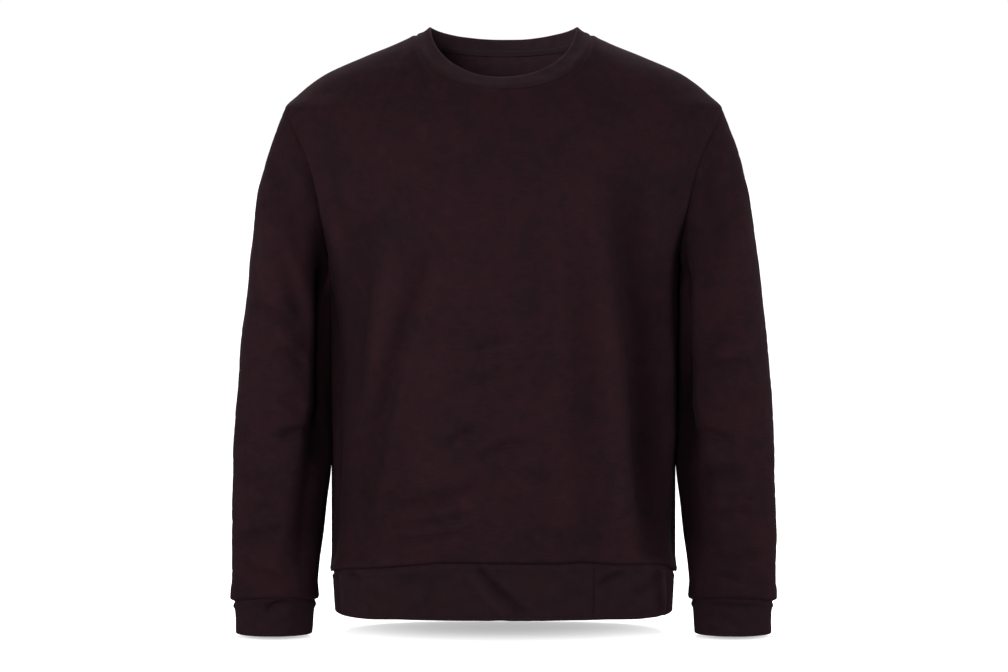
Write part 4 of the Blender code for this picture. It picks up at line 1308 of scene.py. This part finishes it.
fleece = fleece_material()
rib = rib_material("rib_knit", 1)
neck_rib = rib_material("neck_rib_knit", NECK_RIB_LIGHTNESS)
threads = {name: thread_material(f"{name}_thread", colour) for name, colour in THREAD_COLOURS.items()}
ribs = rib_nodes()
stitches = stitch_nodes()

front_plain = plain_panel(-1, FRONT_NECK_DROP)
back_plain = plain_panel(1, BACK_NECK_DROP)
armhole_out = armhole_parting(front_plain[ARMHOLE, -1])

front, skin = body_panel("front_panel", front_plain, -1, FRONT_CREASES, FRONT_SHADES, 11)
front_extras = overlocked("front", skin[:, ::2], turned_over(skin)[:, ::2])

back, skin = body_panel("back_panel", back_plain, 1, BACK_CREASES, (), 23)
seamed = (skin[:ARMHOLE_FIRST], skin[ARMHOLE_LAST:])
back_extras = overlocked(
    "back", skin[:, ::2], *map(sideways, seamed), *(sideways(turned_over(part)) for part in seamed)
)

sleeve_plain = plain_sleeve(armhole_ring(front_plain, back_plain))
sleeves, sleeve_extras = {}, {}
for label, creases, seed in (("left", LEFT_SLEEVE_CREASES, 31), ("right", RIGHT_SLEEVE_CREASES, 43)):
    outer, inner, painted_shading = creased_sleeve(sleeve_plain, creases, seed)
    part_sleeve(outer, sleeve_plain, False)
    part_sleeve(inner, sleeve_plain, True)
    if label == "right":
        outer, inner, painted_shading = map(mirrored, (outer, inner, painted_shading))
    name = f"sleeve_{label}"
    sleeves[label] = cloth_object(f"{name}_cloth", [shell(outer, inner, True, painted_shading)], fleece)
    sleeve_extras[label] = overlocked(name, inner, turned_over(inner), closed=True)

hem_plain = hem_band_grid(even_ring(front_plain[0], back_plain[0], HEM_BAND_ROUND))
hem_faces = creased_band(hem_plain, HEM_FRONT_CREASES, HEM_BACK_CREASES, False, 57)
hem_band = rib_band("hem_band_rib", *hem_faces, hem_plain, False, rib)

neck_plain = neckband_grid(even_ring(front_plain[-1], back_plain[-1], NECKBAND_ROUND))
neck_faces = creased_band(neck_plain, (), (), True, 61, NECKBAND_TURN)
neckband = rib_band("neckband_rib", *neck_faces, neck_plain, True, neck_rib)

# The tape inside the back of the neck covers its seam from one shoulder seam to the other
behind = np.nonzero(neck_plain[0, :, 1] > 0.001)[0][::COLUMNS_PER_RIB]
tape_shell, top, inward = allowance(neck_faces[1][:, behind], False, *NECK_TAPE)
tape = [cloth_object("neck_tape", [tape_shell], tape_cloth_material())]
for edge, row, thread, thickness in TAPE_ROWS:
    name, line = f"neck_tape_{edge}_stitches", (top[row], inward[row])
    tape.append(stitch_rows(name, [line], threads[thread], **TAPE_STITCH, Thread=thickness))

cuff_plain = cuff_grid()
cuffs = {}
for label, creases, seed in (("left", LEFT_CUFF_CREASES, 71), ("right", RIGHT_CUFF_CREASES, 83)):
    grids = (*creased_band(cuff_plain, creases, (), False, seed), cuff_plain)
    if label == "right":
        grids = map(mirrored, grids)
    cuffs[label] = rib_band(f"cuff_{label}_rib", *grids, False, rib)


# ---- floor, light and camera ----
FLOOR_Z = -0.7205
FLOOR_REACH = 40
# Painted shadows, where the floor glows less under the hem and under the cuffs, over the real shadows that
# the lamps cast: middle x and y, half width, half depth
PAINTED_FLOOR_SHADOWS = ((0, 0.06, 0.215, 0.1), (0.276, -0.016, 0.046, 0.03))
PAINTED_SHADOW_DIM = 0.67
PAINTED_SHADOW_REACH = 1.6
PAINTED_SHADOW_SOFTNESS = 0.3
# The light from all round: how bright it is on each side, the places across where it changes, the places
# towards the front where it fades out, and the backdrop itself
LEFT_LIGHT = 0.38
RIGHT_LIGHT = 0.64
LIGHT_ACROSS = (-0.2, 0.2)
LIGHT_FADE = (-0.8, -0.1)
BACKDROP_LIGHT = 1.02
LIGHTS_AIM = (0, -0.05, -0.33)
# name, place, width and height, power, spread in degrees
SOFT_LIGHTS = (
    ("soft_front", (-0.6, -2.8, -0.05), (0.9, 1.1), 4.8, 60),
    ("soft_left", (-0.95, -1, -0.3), (0.45, 0.55), 1.5, 100),
    ("soft_far_left", (-1.6, -0.7, -0.3), (0.5, 0.8), 1.4, 100),
    ("soft_far_right", (1.6, -0.7, -0.3), (0.5, 0.8), 3.3, 100),
    ("soft_behind", (0, 1, 1.2), (1.6, 0.5), 13, 100),
)
LENS = 101.2
CAMERA_ELEVATION = math.radians(4)
CAMERA_DISTANCE = 3.4
CAMERA_X = 0.0006
CAMERA_AIM_Z = -0.36


def floor():
    material, s = new_material("studio_floor")
    place = s.place()
    across, along = s.split(place)
    # The floor glows evenly, less in the painted shadows under the hem and the cuffs
    glow = 1
    for x, y, wide, deep in PAINTED_FLOOR_SHADOWS:
        beside = (across.absolute() - x) * (1 / wide)
        behind = (along - y) * (1 / deep)
        painted_shadow = s.ramp(beside * beside + behind * behind, PAINTED_SHADOW_REACH, 0)
        glow = glow - PAINTED_SHADOW_DIM * painted_shadow.soft_least(1, PAINTED_SHADOW_SOFTNESS)
    colour = s.mix(s.noise(place, 3, 2), (0.86, 0.86, 0.86), (0.88, 0.88, 0.88))
    light = s.mix(glow, (0, 0, 0), (1, 1, 1))
    s.finish({"Base Color": colour, "Emission Color": light, "Emission Strength": 1, "Roughness": 0.9})
    mesh = bpy.data.meshes.new("floor")
    corners = [(x * FLOOR_REACH, y * FLOOR_REACH, FLOOR_Z) for x, y in ((-1, -1), (1, -1), (1, 1), (-1, 1))]
    mesh.from_pydata(corners, [], [(0, 1, 2, 3)])
    mesh.materials.append(material)
    obj = new_object("floor", mesh)
    obj.visible_diffuse = False
    obj.visible_glossy = False
    return obj


def studio():
    world = bpy.data.worlds.new("studio")
    world.use_nodes = True
    world.node_tree.nodes.clear()
    s = Shader(world.node_tree)
    across, behind = s.split(s.node("ShaderNodeTexCoord"))
    side = s.ramp(across, *LIGHT_ACROSS) * (RIGHT_LIGHT - LEFT_LIGHT) + LEFT_LIGHT
    light = s.ramp(behind, *LIGHT_FADE) * side
    strength = light + (BACKDROP_LIGHT - light) * s.node("ShaderNodeLightPath")
    sky = s.node("ShaderNodeBackground", {}, {"Color": (1, 1, 1, 1), "Strength": strength})
    s.node("ShaderNodeOutputWorld", {}, {"Surface": sky})
    bpy.context.scene.world = world
    for name, place, size, power, spread in SOFT_LIGHTS:
        data = bpy.data.lights.new(name, "AREA")
        data.shape = "RECTANGLE"
        data.size, data.size_y = size
        data.energy = power
        data.spread = math.radians(spread)
        obj = new_object(name, data)
        obj.location = place
        obj.rotation_euler = (Vector(LIGHTS_AIM) - Vector(place)).to_track_quat("-Z", "Y").to_euler()
        obj.visible_camera = False


def camera():
    data = bpy.data.cameras.new("camera")
    data.sensor_width = 36
    data.lens = LENS
    obj = new_object("camera", data)
    rise = CAMERA_DISTANCE * math.sin(CAMERA_ELEVATION)
    obj.location = (CAMERA_X, -CAMERA_DISTANCE * math.cos(CAMERA_ELEVATION), CAMERA_AIM_Z + rise)
    obj.rotation_euler = (math.pi / 2 - CAMERA_ELEVATION, 0, 0)
    bpy.context.scene.camera = obj


camera()
studio()
floor()
bpy.context.scene.view_settings.view_transform = "Standard"

panels = ["front_panel", "back_panel"]
pieces = [
    (front, "front", "fleece", (0.54, 0.66), 0.318, "hung", ["neckband_rib"], front_extras),
    (back, "back", "fleece", (0.54, 0.68), 0.324, "hung", ["neckband_rib"], back_extras),
    (hem_band, "hem_band", "rib", (1.08, 0.062), 0.0566, "stretched", panels, []),
    (neckband, "neckband", "rib", (0.56, 0.024), 0.0119, "stretched", panels, tape),
]
for label, cloth in sleeves.items():
    sleeve, cuff = f"sleeve_{label}", f"cuff_{label}"
    pieces += [
        (cloth, sleeve, "fleece", (0.44, 0.6), 0.177, "hung", panels, sleeve_extras[label]),
        (cuffs[label], cuff, "rib", (0.255, 0.042), 0.0102, "stretched", [f"{sleeve}_cloth"], []),
    ]

for piece, node, slot, flat, area, held, rests_on, extras in pieces:
    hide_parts(node)
    for part in (piece, *extras):
        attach(part, "root")
